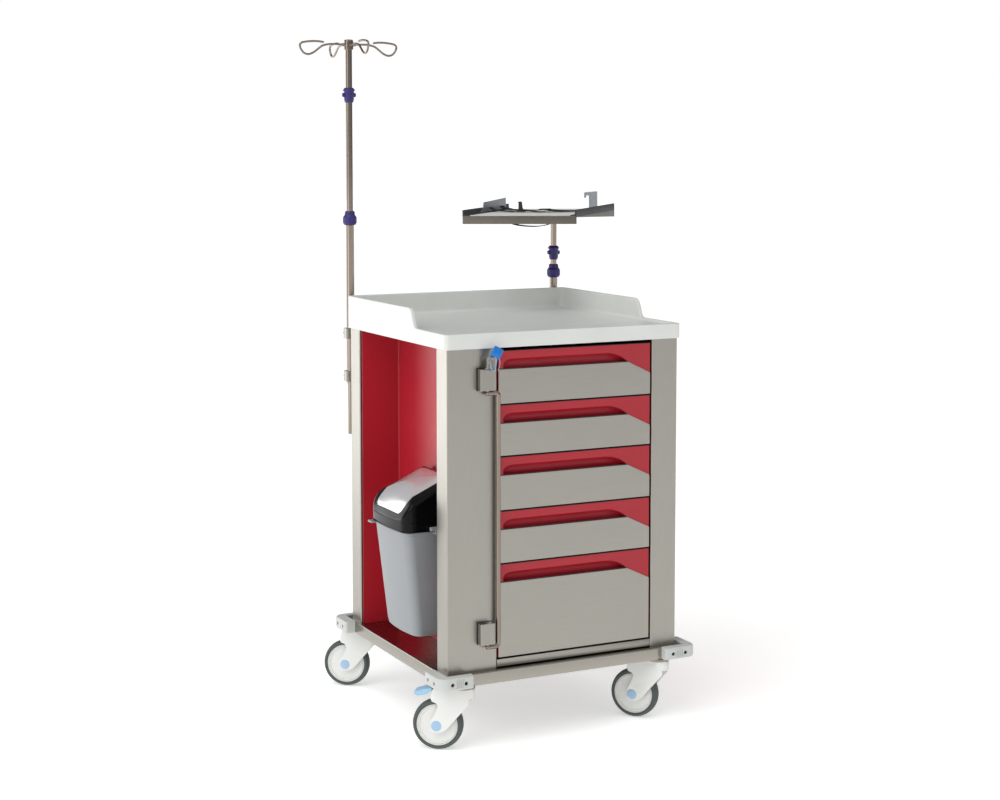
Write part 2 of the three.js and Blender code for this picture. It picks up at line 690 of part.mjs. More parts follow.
place("tray_strap", trayStrap(), WEBBING, tray);

// ---------------------------------------------------------------- waste bin

// One level of the bin: a rounded rectangle between a front and a back face, with a bowed front.
function binRing(z, front, width, inset, count = 5) {
  const back = BIN.back - inset;
  const [x0, y0] = [front + inset, width / 2 - inset];
  const r = 26 - inset;
  const shape = new THREE.Shape();
  shape.moveTo(back, BIN.y + y0);
  shape.lineTo(x0 + r, BIN.y + y0);
  shape.quadraticCurveTo(x0 + 4, BIN.y + y0, x0 + 2, BIN.y + y0 - r);
  shape.quadraticCurveTo(x0 - 8, BIN.y, x0 + 2, BIN.y - y0 + r);
  shape.quadraticCurveTo(x0 + 4, BIN.y - y0, x0 + r, BIN.y - y0);
  shape.lineTo(back, BIN.y - y0);
  return shape.getPoints(count).map((p) => [p.x, p.y, z]);
}

function bucket() {
  const { frontTop, frontBottom, bottom, rim } = BIN;
  const { top: wideTop, bottom: wideBottom } = BIN_WIDTH;
  const lip = 5;
  return skin([
    binRing(bottom, frontBottom + 4, wideBottom - 8, 0),
    binRing(bottom + 4, frontBottom, wideBottom, 0),
    binRing(rim - 12, frontTop + 1, wideTop - 2, 0),
    binRing(rim - 12, frontTop + 1 - lip, wideTop - 2 + 2 * lip, 0),
    binRing(rim, frontTop - lip, wideTop + 2 * lip, 0),
    binRing(rim, frontTop, wideTop, BIN_WALL),
    binRing(bottom + BIN_WALL + 1, frontBottom, wideBottom, BIN_WALL),
  ]);
}

// The rim's rear edge stands over the bracket, which is how the bin hangs.
function bucketWithHanger() {
  const { back, rim, y } = BIN;
  const hanger = box(back - 2, BAY.wallX - 0.8, y - 45, y + 45, rim - 3, rim);
  return join(bucket(), hanger);
}

place("bin_bucket", bucketWithHanger(), BIN_GREY);
place("bin_bracket", box(-218.5, BAY.wallX - GAP, BIN.y - 50, BIN.y + 50, BIN.rim - 70, BIN.rim - 3.3), STEEL);

// The lid's side outline (x, z): a low nose, a long rounded slope and a flat back.
function lidOutline(inset) {
  const { back, frontTop, rim, top } = BIN;
  const [x0, x1, z1] = [frontTop + 3 + inset, back - 1 - inset, top - inset];
  const shape = new THREE.Shape();
  shape.moveTo(x0, rim + GAP - (inset > 0 ? 2 : 0));
  shape.lineTo(x1, rim + GAP - (inset > 0 ? 2 : 0));
  shape.lineTo(x1, z1);
  shape.lineTo(x1 - 26, z1);
  shape.bezierCurveTo(x1 - 80, z1, x0 + 12, z1 - 50, x0, rim + 38);
  return shape;
}

const FLAP = { half: 76, clear: 1.6, tilt: 0.72, length: 148, axisX: -312, axisZ: 606 };

// A slab-shaped window region, tilted with the lid's slope, in which the flap swings.
function flapRegion(halfWidth, length) {
  const region = box(-length / 2, length / 2, -halfWidth, halfWidth, -30, 90);
  return region.rotateY(-FLAP.tilt).translate(FLAP.axisX, BIN.y, FLAP.axisZ);
}

const lidHalf = BIN_WIDTH.top / 2 - 3;
const lidShell = () =>
  cut(
    prismY(lidOutline(0), BIN.y - lidHalf, BIN.y + lidHalf),
    prismY(lidOutline(BIN_WALL), BIN.y - lidHalf + BIN_WALL, BIN.y + lidHalf - BIN_WALL),
  );

place("bin_lid", cut(lidShell(), flapRegion(FLAP.half, FLAP.length)), GLOSS_BLACK);

const flapSolid = solidOf(lidShell()).intersect(
  solidOf(flapRegion(FLAP.half - FLAP.clear, FLAP.length - 2 * FLAP.clear)),
);
place("bin_flap", geometryOf(flapSolid), FLAP_SILVER);

// ---------------------------------------------------------------- the whole trolley's frame

// The origin is on the floor, in the middle of the trolley's whole box.
trolley.updateMatrixWorld(true);
const extent = new THREE.Box3().setFromObject(trolley, true);
const middle = extent.getCenter(new THREE.Vector3());
trolley.position.set(-middle.x, -middle.y, 0);
trolley.updateMatrixWorld(true);

export default trolley;
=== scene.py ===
"""The looks of an emergency trolley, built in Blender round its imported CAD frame.

Shapes are written in millimetres about the body's vertical centre line, with +X to the trolley's
right, +Y to its back and +Z up. Each piece is placed in the row frame, in metres, as it is made.
"""

import json
import math
from collections import namedtuple

import bmesh
import bpy
from mathutils import Matrix, Vector
from mathutils.geometry import tessellate_polygon


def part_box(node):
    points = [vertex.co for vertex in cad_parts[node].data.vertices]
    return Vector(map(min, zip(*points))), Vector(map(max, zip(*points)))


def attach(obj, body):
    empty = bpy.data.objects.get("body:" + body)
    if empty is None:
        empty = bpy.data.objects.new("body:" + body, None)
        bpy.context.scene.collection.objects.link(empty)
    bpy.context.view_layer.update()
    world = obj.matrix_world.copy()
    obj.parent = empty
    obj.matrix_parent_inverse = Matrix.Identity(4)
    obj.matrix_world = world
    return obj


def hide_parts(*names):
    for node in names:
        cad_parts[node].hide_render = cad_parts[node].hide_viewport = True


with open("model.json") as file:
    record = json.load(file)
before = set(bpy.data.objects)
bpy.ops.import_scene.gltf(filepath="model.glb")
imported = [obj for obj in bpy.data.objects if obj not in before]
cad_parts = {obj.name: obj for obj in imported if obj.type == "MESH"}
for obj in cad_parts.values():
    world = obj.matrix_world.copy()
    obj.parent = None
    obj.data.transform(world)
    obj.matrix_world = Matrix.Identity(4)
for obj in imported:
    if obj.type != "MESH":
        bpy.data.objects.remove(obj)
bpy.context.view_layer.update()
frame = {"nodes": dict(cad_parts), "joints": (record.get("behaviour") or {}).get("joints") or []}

# ---------------------------------------------------------------- places, from the frame

base_low, base_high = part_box("base_frame")
middle = (base_low + base_high) / 2
BODY_FRAME = Matrix.Translation((middle.x, middle.y, 0)) @ Matrix.Scale(0.001, 4)
TO_BODY = BODY_FRAME.inverted()
JOINTS = {joint["name"]: joint for joint in frame["joints"]}

CORNERS = {
    "front_left": (-1, -1),
    "front_right": (1, -1),
    "rear_left": (-1, 1),
    "rear_right": (1, 1),
}
SHEET = 1.5  # folded steel
BEND = 3  # outer radius of a fold
FACING_BACK = Matrix.Rotation(-math.pi / 2, 4, "X")  # turns what stands up on Z towards the back
TRAY_TURN = math.radians(-44.5)
TRAY_SAG = (0.7, -0.8)  # degrees about the tray's own axes: it hangs a little low at the front left


def extent(node):
    """A CAD node's lowest and highest corner, in millimetres about the body's centre line."""
    low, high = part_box(node)
    return TO_BODY @ low, TO_BODY @ high


def joint_place(name):
    """Where a joint is, in millimetres about the body's centre line."""
    return TO_BODY @ Vector(JOINTS[name]["pos_m"])


def castor_frame(corner):
    """A castor's own frame: its swivel axis is Z, its axle is along Y and it trails towards +X."""
    at = JOINTS[f"castor_swivel_{corner}"]["pos_m"]
    axle = Vector(JOINTS[f"wheel_spin_{corner}"]["axis"])
    turn = math.atan2(-axle.x, axle.y)
    return Matrix.Translation((at[0], at[1], 0)) @ Matrix.Rotation(turn, 4, "Z") @ Matrix.Scale(0.001, 4)


def tray_frame():
    """The tray's own frame: the post is its Z axis and it sags about the top of the post."""
    at = Vector(JOINTS["monitor_tray_swivel"]["pos_m"])
    about_x, about_y = (math.radians(angle) for angle in TRAY_SAG)
    sag = Matrix.Rotation(about_x, 4, "X") @ Matrix.Rotation(about_y, 4, "Y")
    turn = Matrix.Translation(at) @ Matrix.Rotation(TRAY_TURN, 4, "Z") @ sag
    return turn @ Matrix.Translation((0, 0, -at.z)) @ Matrix.Scale(0.001, 4)


# ---------------------------------------------------------------- outlines

def round_corner(before, corner, after, radius, steps):
    """The arc that rounds one corner of a path, in a plane or in space."""
    before = (before - corner).normalized()
    after = (after - corner).normalized()
    half = before.angle(after) / 2
    centre = corner + (before + after).normalized() * radius / math.sin(half)
    start = corner + before * radius / math.tan(half) - centre
    end = corner + after * radius / math.tan(half) - centre
    turn = math.pi - 2 * half
    angles = [turn * step / steps for step in range(steps + 1)]
    return [centre + (start * math.sin(turn - a) + end * math.sin(a)) / math.sin(turn) for a in angles]


def fillet(points, steps=5, closed=True):
    """Rounds the corners of a path. A point is (x, y), or (x, y, radius) where it is rounded."""
    corners = [Vector(point[:2]) for point in points]
    path = []
    for i, point in enumerate(points):
        at_end = not closed and i in (0, len(points) - 1)
        if len(point) == 2 or at_end:
            path.append(corners[i])
        else:
            after = corners[(i + 1) % len(points)]
            path += round_corner(corners[i - 1], corners[i], after, point[2], steps)
    return path


def strip(path, thickness=SHEET):
    """The section of a bent sheet: path is one side of it, and the sheet lies to the path's left."""
    other = []
    for i, point in enumerate(path):
        before = (point - path[i - 1]).normalized() if i else (path[1] - point).normalized()
        after = (path[i + 1] - point).normalized() if i + 1 < len(path) else before
        along = (before + after).normalized()
        normal = Vector((-along.y, along.x))
        other.append(point + normal * thickness / max(along.dot(after), 0.3))
    return list(path) + other[::-1]


def rounded_rect(width, depth, radius, x=0.0, y=0.0, steps=6):
    a, b = width / 2 - radius, depth / 2 - radius
    outline = []
    for cx, cy, start in ((a, -b, -90), (a, b, 0), (-a, b, 90), (-a, -b, 180)):
        for step in range(steps + 1):
            angle = math.radians(start + 90 * step / steps)
            outline.append(Vector((x + cx + radius * math.cos(angle), y + cy + radius * math.sin(angle))))
    return outline


def bezier(p0, p1, p2, p3, steps=16):
    """Points of a cubic curve, both ends included."""
    points = []
    for step in range(steps + 1):
        t = step / steps
        weights = ((1 - t) ** 3, 3 * t * (1 - t) ** 2, 3 * t * t * (1 - t), t ** 3)
        points.append(sum((Vector(p) * w for p, w in zip((p0, p1, p2, p3), weights)), Vector((0, 0))))
    return points


def arc(radius, start, end, steps=5, x=0.0, y=0.0):
    angles = [math.radians(start + (end - start) * step / steps) for step in range(steps + 1)]
    return [(x + radius * math.cos(a), y + radius * math.sin(a)) for a in angles]


# ---------------------------------------------------------------- solids: (points, faces)

def loft(rings, closed=False):
    """A skin through rings of equally many points, capped at both ends or joined end to end."""
    count = len(rings[0])
    points = [Vector(p) for ring in rings for p in ring]
    faces = []
    for r in range(len(rings) if closed else len(rings) - 1):
        a, b = r * count, (r + 1) % len(rings) * count
        for i in range(count):
            j = (i + 1) % count
            faces.append((a + i, a + j, b + j, b + i))
    if not closed:
        faces.append(tuple(range(count))[::-1])
        faces.append(tuple(range(len(points) - count, len(points))))
    return points, faces


def extrusion(outline, axis, a, b, holes=()):
    """An outline carried along an axis from a to b. Its own plane is YZ, XZ or XY, in that order."""
    place = {
        "x": lambda p, w: (w, p[0], p[1]),
        "y": lambda p, w: (p[0], w, p[1]),
        "z": lambda p, w: (p[0], p[1], w),
    }[axis]
    if not holes:
        return loft([[place(p, a) for p in outline], [place(p, b) for p in outline]])
    loops = [list(outline), *[list(hole) for hole in holes]]
    flat = [p for loop in loops for p in loop]
    total = len(flat)
    points = [Vector(place(p, a)) for p in flat] + [Vector(place(p, b)) for p in flat]
    triangles = tessellate_polygon([[Vector((p[0], p[1], 0)) for p in loop] for loop in loops])
    faces = [tuple(t) for t in triangles] + [tuple(i + total for i in t) for t in triangles]
    first = 0
    for loop in loops:
        for i in range(len(loop)):
            j = (i + 1) % len(loop)
            faces.append((first + i, first + j, first + j + total, first + i + total))
        first += len(loop)
    return points, faces


def box(x0, x1, y0, y1, z0, z1):
    outline = [(x0, y0), (x1, y0), (x1, y1), (x0, y1)]
    return extrusion(outline, "z", z0, z1)


def revolve(profile, segments=48, ring=False):
    """A profile of (radius, z) turned about Z. It runs from axis to axis, or closes as a ring."""
    angles = [2 * math.pi * i / segments for i in range(segments)]
    rings = [[(r * math.cos(a), r * math.sin(a), z) for a in angles] for r, z in profile]
    return loft(rings, closed=ring)


def pan(width, depth, corner, profile, x=0.0, y=0.0):
    """Rounded rectangles stacked by a profile of (inset, z)."""
    rings = []
    for inset, z in profile:
        radius = max(corner - inset, 0.6)
        outline = rounded_rect(width - 2 * inset, depth - 2 * inset, radius, x, y)
        rings.append([(p.x, p.y, z) for p in outline])
    return loft(rings)


def smooth_path(points, steps=8):
    """A smooth curve through the points."""
    path = [Vector(p) for p in points]
    padded = [2 * path[0] - path[1], *path, 2 * path[-1] - path[-2]]
    curve = []
    for i in range(1, len(padded) - 2):
        p0, p1, p2, p3 = padded[i - 1 : i + 3]
        for step in range(steps):
            t = step / steps
            curve.append(
                0.5 * (2 * p1 + (p2 - p0) * t + (2 * p0 - 5 * p1 + 4 * p2 - p3) * t * t
                       + (3 * p1 - p0 - 3 * p2 + p3) * t ** 3)
            )
    return curve + [path[-1]]


def round_corners(points, radius, steps=6):
    """A path in space with its corners rounded."""
    points = [Vector(p) for p in points]
    path = [points[0]]
    for before, corner, after in zip(points, points[1:], points[2:]):
        path += round_corner(before, corner, after, radius, steps)
    return path + [points[-1]]


def sweep(path, radius, sides=16):
    """A round bar along a path, with rounded ends."""
    tangents = []
    for i in range(len(path)):
        tangents.append((path[min(i + 1, len(path) - 1)] - path[max(i - 1, 0)]).normalized())
    normal = tangents[0].orthogonal().normalized()
    rings = []

    def ring(centre, tangent, size):
        other = tangent.cross(normal)
        angles = [2 * math.pi * k / sides for k in range(sides)]
        rings.append([centre + (normal * math.cos(a) + other * math.sin(a)) * size for a in angles])

    ends = [math.radians(a) for a in (85, 60, 35, 15)]
    for a in ends:
        ring(path[0] - tangents[0] * radius * math.sin(a), tangents[0], radius * math.cos(a))
    for i, point in enumerate(path):
        tangent = tangents[i]
        normal = (normal - tangent * normal.dot(tangent)).normalized()
        ring(point, tangent, radius)
    for a in reversed(ends):
        ring(path[-1] + tangents[-1] * radius * math.sin(a), tangents[-1], radius * math.cos(a))
    return loft(rings)


def ribbon(path, across, width, thickness):
    """A flat strap along a path. across is the direction of its width."""
    side = Vector(across).normalized()
    section = ((-1, -0.4), (-1, 0.4), (-0.95, 1), (0.95, 1), (1, 0.4), (1, -0.4), (0.95, -1), (-0.95, -1))
    rings = []
    for i, point in enumerate(path):
        tangent = (path[min(i + 1, len(path) - 1)] - path[max(i - 1, 0)]).normalized()
        normal = tangent.cross(side).normalized()
        w, t = side * width / 2, normal * thickness / 2
        rings.append([point + w * a + t * b for a, b in section])
    return loft(rings)


def moved(solid, matrix):
    points, faces = solid
    return [matrix @ p for p in points], faces


def shift(solid, x=0.0, y=0.0, z=0.0):
    return moved(solid, Matrix.Translation((x, y, z)))


def turned(solid, degrees, axis):
    return moved(solid, Matrix.Rotation(math.radians(degrees), 4, axis))


def screw_head(radius, height):
    """A pan-head screw with a socket, standing up from z = 0."""
    shape = [(0, 0.35), (0.42, 0.35), (0.42, 0.95), (0.62, 1), (0.9, 0.72), (1, 0.35)]
    profile = [(radius * r, height * z) for r, z in shape]
    return revolve([*profile, (radius, -0.5), (0, -0.5)], 20)


# ---------------------------------------------------------------- materials

Look = namedtuple("Look", "material slot")


def linear(code):
    """An sRGB hex colour as linear values."""
    values = [int(code[i : i + 2], 16) / 255 for i in (1, 3, 5)]
    return tuple(v / 12.92 if v <= 0.04045 else ((v + 0.055) / 1.055) ** 2.4 for v in values) + (1.0,)


def add_node(tree, kind, inputs, **settings):
    """A shader node. Each input is set to a value or linked to another node's output."""
    node = tree.nodes.new("ShaderNode" + kind)
    for name, value in settings.items():
        setattr(node, name, value)
    for key, value in inputs.items():
        if isinstance(value, bpy.types.NodeSocket):
            tree.links.new(value, node.inputs[key])
        else:
            node.inputs[key].default_value = value
    return node


class Paint:
    """One procedural material, in the piece's own coordinates."""

    def __init__(self, name, slot):
        self.material = bpy.data.materials.new(name)
        self.material.use_nodes = True
        self.tree = self.material.node_tree
        self.shader = self.tree.nodes["Principled BSDF"]
        self.coordinates = self.node("TexCoord", {}).outputs["Object"]
        self.look = Look(self.material, slot)

    def set(self, **values):
        for name, value in values.items():
            self.shader.inputs[name.replace("_", " ")].default_value = value
        return self

    def link(self, output, name):
        self.tree.links.new(output, self.shader.inputs[name])

    def node(self, kind, inputs, **settings):
        return add_node(self.tree, kind, inputs, **settings)

    def noise(self, scale, detail=4.0, stretch=(1, 1, 1)):
        mapping = self.node("Mapping", {"Vector": self.coordinates, "Scale": stretch})
        inputs = {"Vector": mapping.outputs["Vector"], "Scale": scale, "Detail": detail}
        return self.node("TexNoise", inputs).outputs["Fac"]

    def edges(self, low=0.53, high=0.62):
        """1 on outer edges, where a painted highlight goes, 0 elsewhere."""
        return self.remap(self.node("NewGeometry", {}).outputs["Pointiness"], low, high, 0, 1)

    def remap(self, value, low, high, to_low, to_high):
        inputs = enumerate((value, low, high, to_low, to_high))
        return self.node("MapRange", dict(inputs)).outputs[0]

    def mix(self, factor, a, b):
        return self.node("Mix", {0: factor, 6: a, 7: b}, data_type="RGBA").outputs[2]

    def bump(self, height, distance, strength=1.0):
        inputs = {"Height": height, "Distance": distance, "Strength": strength}
        self.link(self.node("Bump", inputs).outputs["Normal"], "Normal")


def shade(colour, factor):
    return tuple(min(c * factor, 1.0) for c in colour[:3]) + (1.0,)


def steel(name, colour, grain, roughness=(0.30, 0.40), slot="satin_steel", spread=0.06):
    """Brushed stainless steel. grain is the direction of its brushing."""
    paint = Paint(name, slot).set(Metallic=1.0)
    stretch = {"x": (14, 900, 900), "y": (900, 14, 900), "z": (900, 900, 14)}[grain]
    streaks = paint.noise(1.0, 3.0, stretch)
    clouds = paint.remap(paint.noise(5.0, 3.0), 0.3, 0.7, 0, 1)
    colour = linear(colour)
    toned = paint.mix(clouds, shade(colour, 1 - spread / 2), shade(colour, 1 + spread / 2))
    lined = paint.mix(paint.remap(streaks, 0.25, 0.75, 0, 1), toned, shade(colour, 1 - spread))
    # outer edges lightened: a painted highlight along the bends
    paint.link(paint.mix(paint.edges(0.54, 0.66), lined, shade(colour, 1.35)), "Base Color")
    paint.link(paint.remap(streaks, 0.3, 0.7, *roughness), "Roughness")
    paint.bump(streaks, 0.00002, 0.35)
    return paint.look


def plastic(name, slot, colour, roughness, grain=1800.0, depth=0.00003, edge_highlight=1.12, **values):
    """A moulded plastic: fine grain, faint mottling, and outer edges lightened as a painted highlight."""
    paint = Paint(name, slot).set(**values)
    fine, clouds = paint.noise(grain, 3.0), paint.noise(9.0, 5.0)
    colour = linear(colour)
    toned = paint.mix(paint.remap(clouds, 0.3, 0.7, 0, 1), shade(colour, 0.955), shade(colour, 1.03))
    # outer edges lightened: a painted highlight
    paint.link(paint.mix(paint.edges(), toned, shade(colour, edge_highlight)), "Base Color")
    paint.link(paint.remap(clouds, 0.3, 0.7, roughness - 0.05, roughness + 0.06), "Roughness")
    paint.bump(fine, depth, 0.6)
    return paint.look


def webbing_look():
    """A plain weave of two crossed sets of ridges."""
    paint = Paint("webbing", "webbing").set(Roughness=0.85)
    ridges = []
    for direction in ("X", "Z"):
        inputs = {"Vector": paint.coordinates, "Scale": 240.0}
        ridges.append(paint.node("TexWave", inputs, bands_direction=direction).outputs["Fac"])
    weave = paint.node("Math", dict(enumerate(ridges)), operation="MULTIPLY").outputs[0]
    paint.link(paint.mix(weave, linear("#101013"), linear("#2b2b30")), "Base Color")
    paint.bump(weave, 0.0003, 0.8)
    return paint.look


SATIN = steel("satin_steel", "#9e9b94", "z")
SATIN_ACROSS = steel("satin_steel_across", "#a19e97", "x")
BASE_STEEL = steel("satin_steel_base", "#9a968e", "y", (0.16, 0.28))
# A darker copy of the satin steel: painted shade for the tray's faces, which reflect little light; its
# heavier mottling is its own.
SHADED_TRAY_STEEL = steel("satin_steel_tray_shaded", "#6b675f", "x", (0.28, 0.42), spread=0.35)
# Colour darkened and warmed: a painted reflection of the dark, warm surroundings seen in the polished
# tubes.
BRIGHT = steel("polished_steel", "#91857b", "z", (0.10, 0.17), "polished_steel", 0.05)
ZINC = steel("satin_steel_clip", "#a9adb2", "z", (0.4, 0.5), spread=0.2)
RED = plastic("red_panel", "red_panel", "#aa1b2a", 0.38, 1500.0)
WORKTOP = plastic("worktop_plastic", "worktop_plastic", "#dfe1dd", 0.36, 2200.0, 0.00002, 1.04)
BUMPER = plastic("bumper_plastic", "bumper_plastic", "#c9ccc8", 0.5, 1400.0, 0.00004, 1.06)
NYLON = plastic("castor_plastic", "castor_plastic", "#e6e7e3", 0.42, 1600.0, 0.00003, 1.03)
RUBBER = plastic("tyre_rubber", "tyre_rubber", "#4b5350", 0.7, 900.0, 0.00008, 1.3)
EDGE_RUBBER = plastic("edge_rubber", "tyre_rubber", "#2a2a30", 0.42, 1200.0, 0.00005, 1.4)
PEDAL = plastic("pedal_plastic", "pedal_plastic", "#9cc4e0", 0.35, 1600.0)
HUB = plastic("hub_plastic", "pedal_plastic", "#a3c2e0", 0.3, 1600.0)
COLLAR = plastic("collar_plastic", "collar_plastic", "#2e2268", 0.38, 1600.0, edge_highlight=1.5)
BIN = plastic("bin_plastic", "bin_plastic", "#94989b", 0.4, 1300.0)
GLOSS_BLACK = plastic(
    "lid_plastic", "lid_plastic", "#08090b", 0.13, 700.0, 0.00001, 1.6, Specular_IOR_Level=0.16
)
SILVER = plastic(
    "flap_plastic", "flap_plastic", "#e2e2e5", 0.16, 500.0, 0.00001, Metallic=0.45, Coat_Weight=0.8
)
SEAL = plastic("seal_plastic", "seal_plastic", "#1c86e0", 0.22, 900.0, Transmission_Weight=0.25)
SEAL_LOOP = plastic("seal_loop", "seal_plastic", "#a9cbea", 0.2, 900.0, Transmission_Weight=0.45)
BLACK = plastic("screw_black", "lid_plastic", "#141416", 0.35, 900.0)
TRAY_MAT = plastic("tray_mat", "worktop_plastic", "#e8e8e6", 0.45, 1500.0)
WEBBING = webbing_look()


# ---------------------------------------------------------------- making a piece

def raw(name, solids, place=BODY_FRAME):
    """A mesh object from solids in millimetres, put into the row frame."""
    bm = bmesh.new()
    for points, faces in solids:
        corners = [bm.verts.new(place @ p) for p in points]
        for face in faces:
            bm.faces.new([corners[i] for i in face])
    bmesh.ops.remove_doubles(bm, verts=bm.verts, dist=2e-6)
    bmesh.ops.recalc_face_normals(bm, faces=bm.faces)
    mesh = bpy.data.meshes.new(name)
    bm.to_mesh(mesh)
    bm.free()
    piece = bpy.data.objects.new(name, mesh)
    bpy.context.scene.collection.objects.link(piece)
    return piece


def carve(piece, *tools, operation="DIFFERENCE"):
    """Cuts the tools out of the piece, or keeps what they share with it, and removes them."""
    for tool in tools:
        modifier = piece.modifiers.new("carve", "BOOLEAN")
        modifier.object = tool
        modifier.operation = operation
        modifier.solver = "EXACT"
    graph = bpy.context.evaluated_depsgraph_get()
    mesh = bpy.data.meshes.new_from_object(piece.evaluated_get(graph))
    piece.modifiers.clear()
    piece.data = mesh
    for tool in tools:
        bpy.data.objects.remove(tool)
    return piece


def soften(piece, width, segments=2, angle=30):
    """Rounds the piece's sharp edges and keeps its flat faces flat."""
    modifier = piece.modifiers.new("soften", "BEVEL")
    modifier.width = width / 1000
    modifier.segments = segments
    modifier.limit_method = "ANGLE"
    modifier.angle_limit = math.radians(angle)
    modifier.harden_normals = True
    piece.data.shade_smooth()


def dress(piece, look, body, bevel=0.0, segments=2, replaces=(), sharp=38):
    """Gives a piece its material, rounded edges and body, and hides the nodes it replaces."""
    piece.data.materials.clear()
    piece.data.materials.append(look.material)
    if bevel:
        soften(piece, bevel, segments)
    else:
        piece.data.shade_smooth()
        piece.data.set_sharp_from_angle(angle=math.radians(sharp))
        weighted = piece.modifiers.new("flat faces", "WEIGHTED_NORMAL")
        weighted.keep_sharp = True
    if replaces:
        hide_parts(*replaces)
    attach(piece, body)
    return piece


def part(name, solids, look, body, place=BODY_FRAME, **options):
    return dress(raw(name, solids, place), look, body, **options)


def keep(node, look, bevel):
    """A CAD node that stays: its faces are joined, its edges rounded and its material replaced."""
    piece = frame["nodes"][node]
    piece.data.materials.clear()
    piece.data.materials.append(look.material)
    piece.modifiers.new("weld", "WELD").merge_threshold = 1e-5
    flat = piece.modifiers.new("flat", "DECIMATE")
    flat.decimate_type = "DISSOLVE"
    flat.angle_limit = math.radians(1)
    soften(piece, bevel)


# ---------------------------------------------------------------- base, bumpers

CASTOR_PLATE = 56  # the square plate under the base that holds a castor


def make_base():
    low, high = extent("base_frame")
    width, depth = high.x - low.x, high.y - low.y
    top = high.z
    profile = [(2, top - 2), (2, low.z), (0, low.z)]
    profile += [(BEND - x, top - BEND + z) for x, z in arc(BEND, 0, 90)]
    part("base_pan", [pan(width, depth, 4, profile)], BASE_STEEL, "trolley", replaces=["base_frame"])
    levels = [(0.8, low.z), (0, low.z + 0.8), (0, low.z + 4.2), (0.8, low.z + 5)]
    for corner in CORNERS:
        at = joint_place(f"castor_swivel_{corner}")
        plate = pan(CASTOR_PLATE, CASTOR_PLATE, 10, levels, at.x, at.y)
        part(f"castor_plate_{corner}", [plate], SATIN, "trolley")


def bumper_outline(sx, sy, inset):
    """One level of a corner bumper, an L round the base's corner."""
    low, high = extent("bumper_front_right")
    base = extent("base_frame")[1]
    out_x, out_y = high.x, -low.y
    inner_x, inner_y = base.x + 0.3, -extent("base_frame")[0].y + 0.3
    arm = 92
    outline = [
        (inner_x, inner_y),
        (inner_x, out_y - arm),
        (out_x - inset, out_y - arm, 7),
        (out_x - inset, out_y - inset, 26 - inset),
        (out_x - arm, out_y - inset, 7),
        (out_x - arm, inner_y),
    ]
    return [(sx * p.x, sy * p.y) for p in fillet(outline, 6)]


def make_bumper(corner, sx, sy):
    low, high = extent(f"bumper_{corner}")
    z0, z1 = low.z, high.z
    levels = [(z0, 3.2), (z0 + 1.2, 1.2), (z0 + 4, 0), (z1 - 5, 0), (z1 - 3, 0.4), (z1 - 1, 1.8), (z1, 4)]
    rings = [[(x, y, z) for x, y in bumper_outline(sx, sy, inset)] for z, inset in levels]
    piece = raw(f"bumper_{corner}_shell", [loft(rings)])
    out_x, out_y = max(abs(low.x), abs(high.x)), max(abs(low.y), abs(high.y))
    middle_z = (z0 + z1) / 2 - 1
    hole = revolve([(0, -6), (4.7, -6), (4.7, 4), (0, 4)], 24)
    head = shift(screw_head(4.3, 2.8), z=-5)
    facing_x = Matrix.Rotation(math.radians(90 * sx), 4, "Y")
    facing_y = Matrix.Rotation(math.radians(-90 * sy), 4, "X")
    bores, heads, ribs = [], [], []
    for along in (34, 70):
        for x, y, facing in ((out_x, out_y - along, facing_x), (out_x - along, out_y, facing_y)):
            at = Matrix.Translation((sx * x, sy * y, middle_z)) @ facing
            bores.append(moved(hole, at))
            heads.append(moved(head, at))
    first, pitch, thick, height = 42, 5.2, 2.4, z1 - z0 - 9
    for k in range(5):
        x = sx * (out_x - first - k * pitch)
        outline = rounded_rect(thick, height, 1.1, x, (z0 + z1) / 2, 4)
        ribs.append(extrusion(outline, "y", sy * (out_y - 1), sy * (out_y + 2)))
    carve(piece, raw("bores", bores))
    dress(piece, BUMPER, "trolley", replaces=[f"bumper_{corner}"])
    part(f"bumper_{corner}_screws", heads, BLACK, "trolley")
    part(f"bumper_{corner}_ribs", ribs, BUMPER, "trolley", bevel=0.3)


# ---------------------------------------------------------------- castors

def fork_outline():
    """The fork's side view (x, z): a hooded top that narrows to a round end at the axle."""
    return fillet([
        (-28, 156, 9), (-28, 131, 12), (41, 50, 30), (62, 45.5, 16.5), (79, 47, 16.5), (80, 66, 14),
        (66, 92, 30), (55, 116, 9), (73, 123, 5), (77, 131, 6), (68, 156, 8),
    ], 8)


def make_castor(corner):
    place = castor_frame(corner)
    body = f"castor_{corner}"
    shell = raw(f"fork_{corner}_shell", [extrusion(fork_outline(), "y", -25, 25)], place)
    plan = fillet([(-28, -25, 24), (79, -25, 9), (79, 25, 9), (-28, 25, 24)], 10)
    carve(shell, raw("plan", [extrusion(plan, "z", 20, 170)], place), operation="INTERSECT")
    carve(shell, raw("slot", [box(-80, 140, -20, 20, 10, 131)], place))
    dress(shell, NYLON, body, bevel=1.6, segments=3, replaces=[f"fork_{corner}"])
    bearing = revolve([(0, 155), (29, 155), (30, 156), (30, 160.5), (29, 161.4), (0, 161.4)], 48)
    part(f"fork_{corner}_bearing", [bearing], BRIGHT, body, place)
    axle = place.inverted() @ Vector(JOINTS[f"wheel_spin_{corner}"]["pos_m"])
    hub = Matrix.Translation((axle.x, 0, axle.z))
    for side in (-1, 1):
        turn = Matrix.Rotation(math.radians(-90 * side), 4, "X")
        at = hub @ Matrix.Translation((0, side * 24.7, 0)) @ turn
        cap = revolve([(0, 2.1), (8, 1.9), (11.4, 1.3), (13, 0.5), (13.2, 0), (13.2, -1), (0, -1)], 44)
        part(f"hub_cap_{corner}_{'outer' if side > 0 else 'inner'}", [moved(cap, at)], HUB, body, place)
    make_wheel(corner, place, hub)
    if f"brake_pedal_{corner}" in frame["nodes"]:
        make_pedal(corner, place)


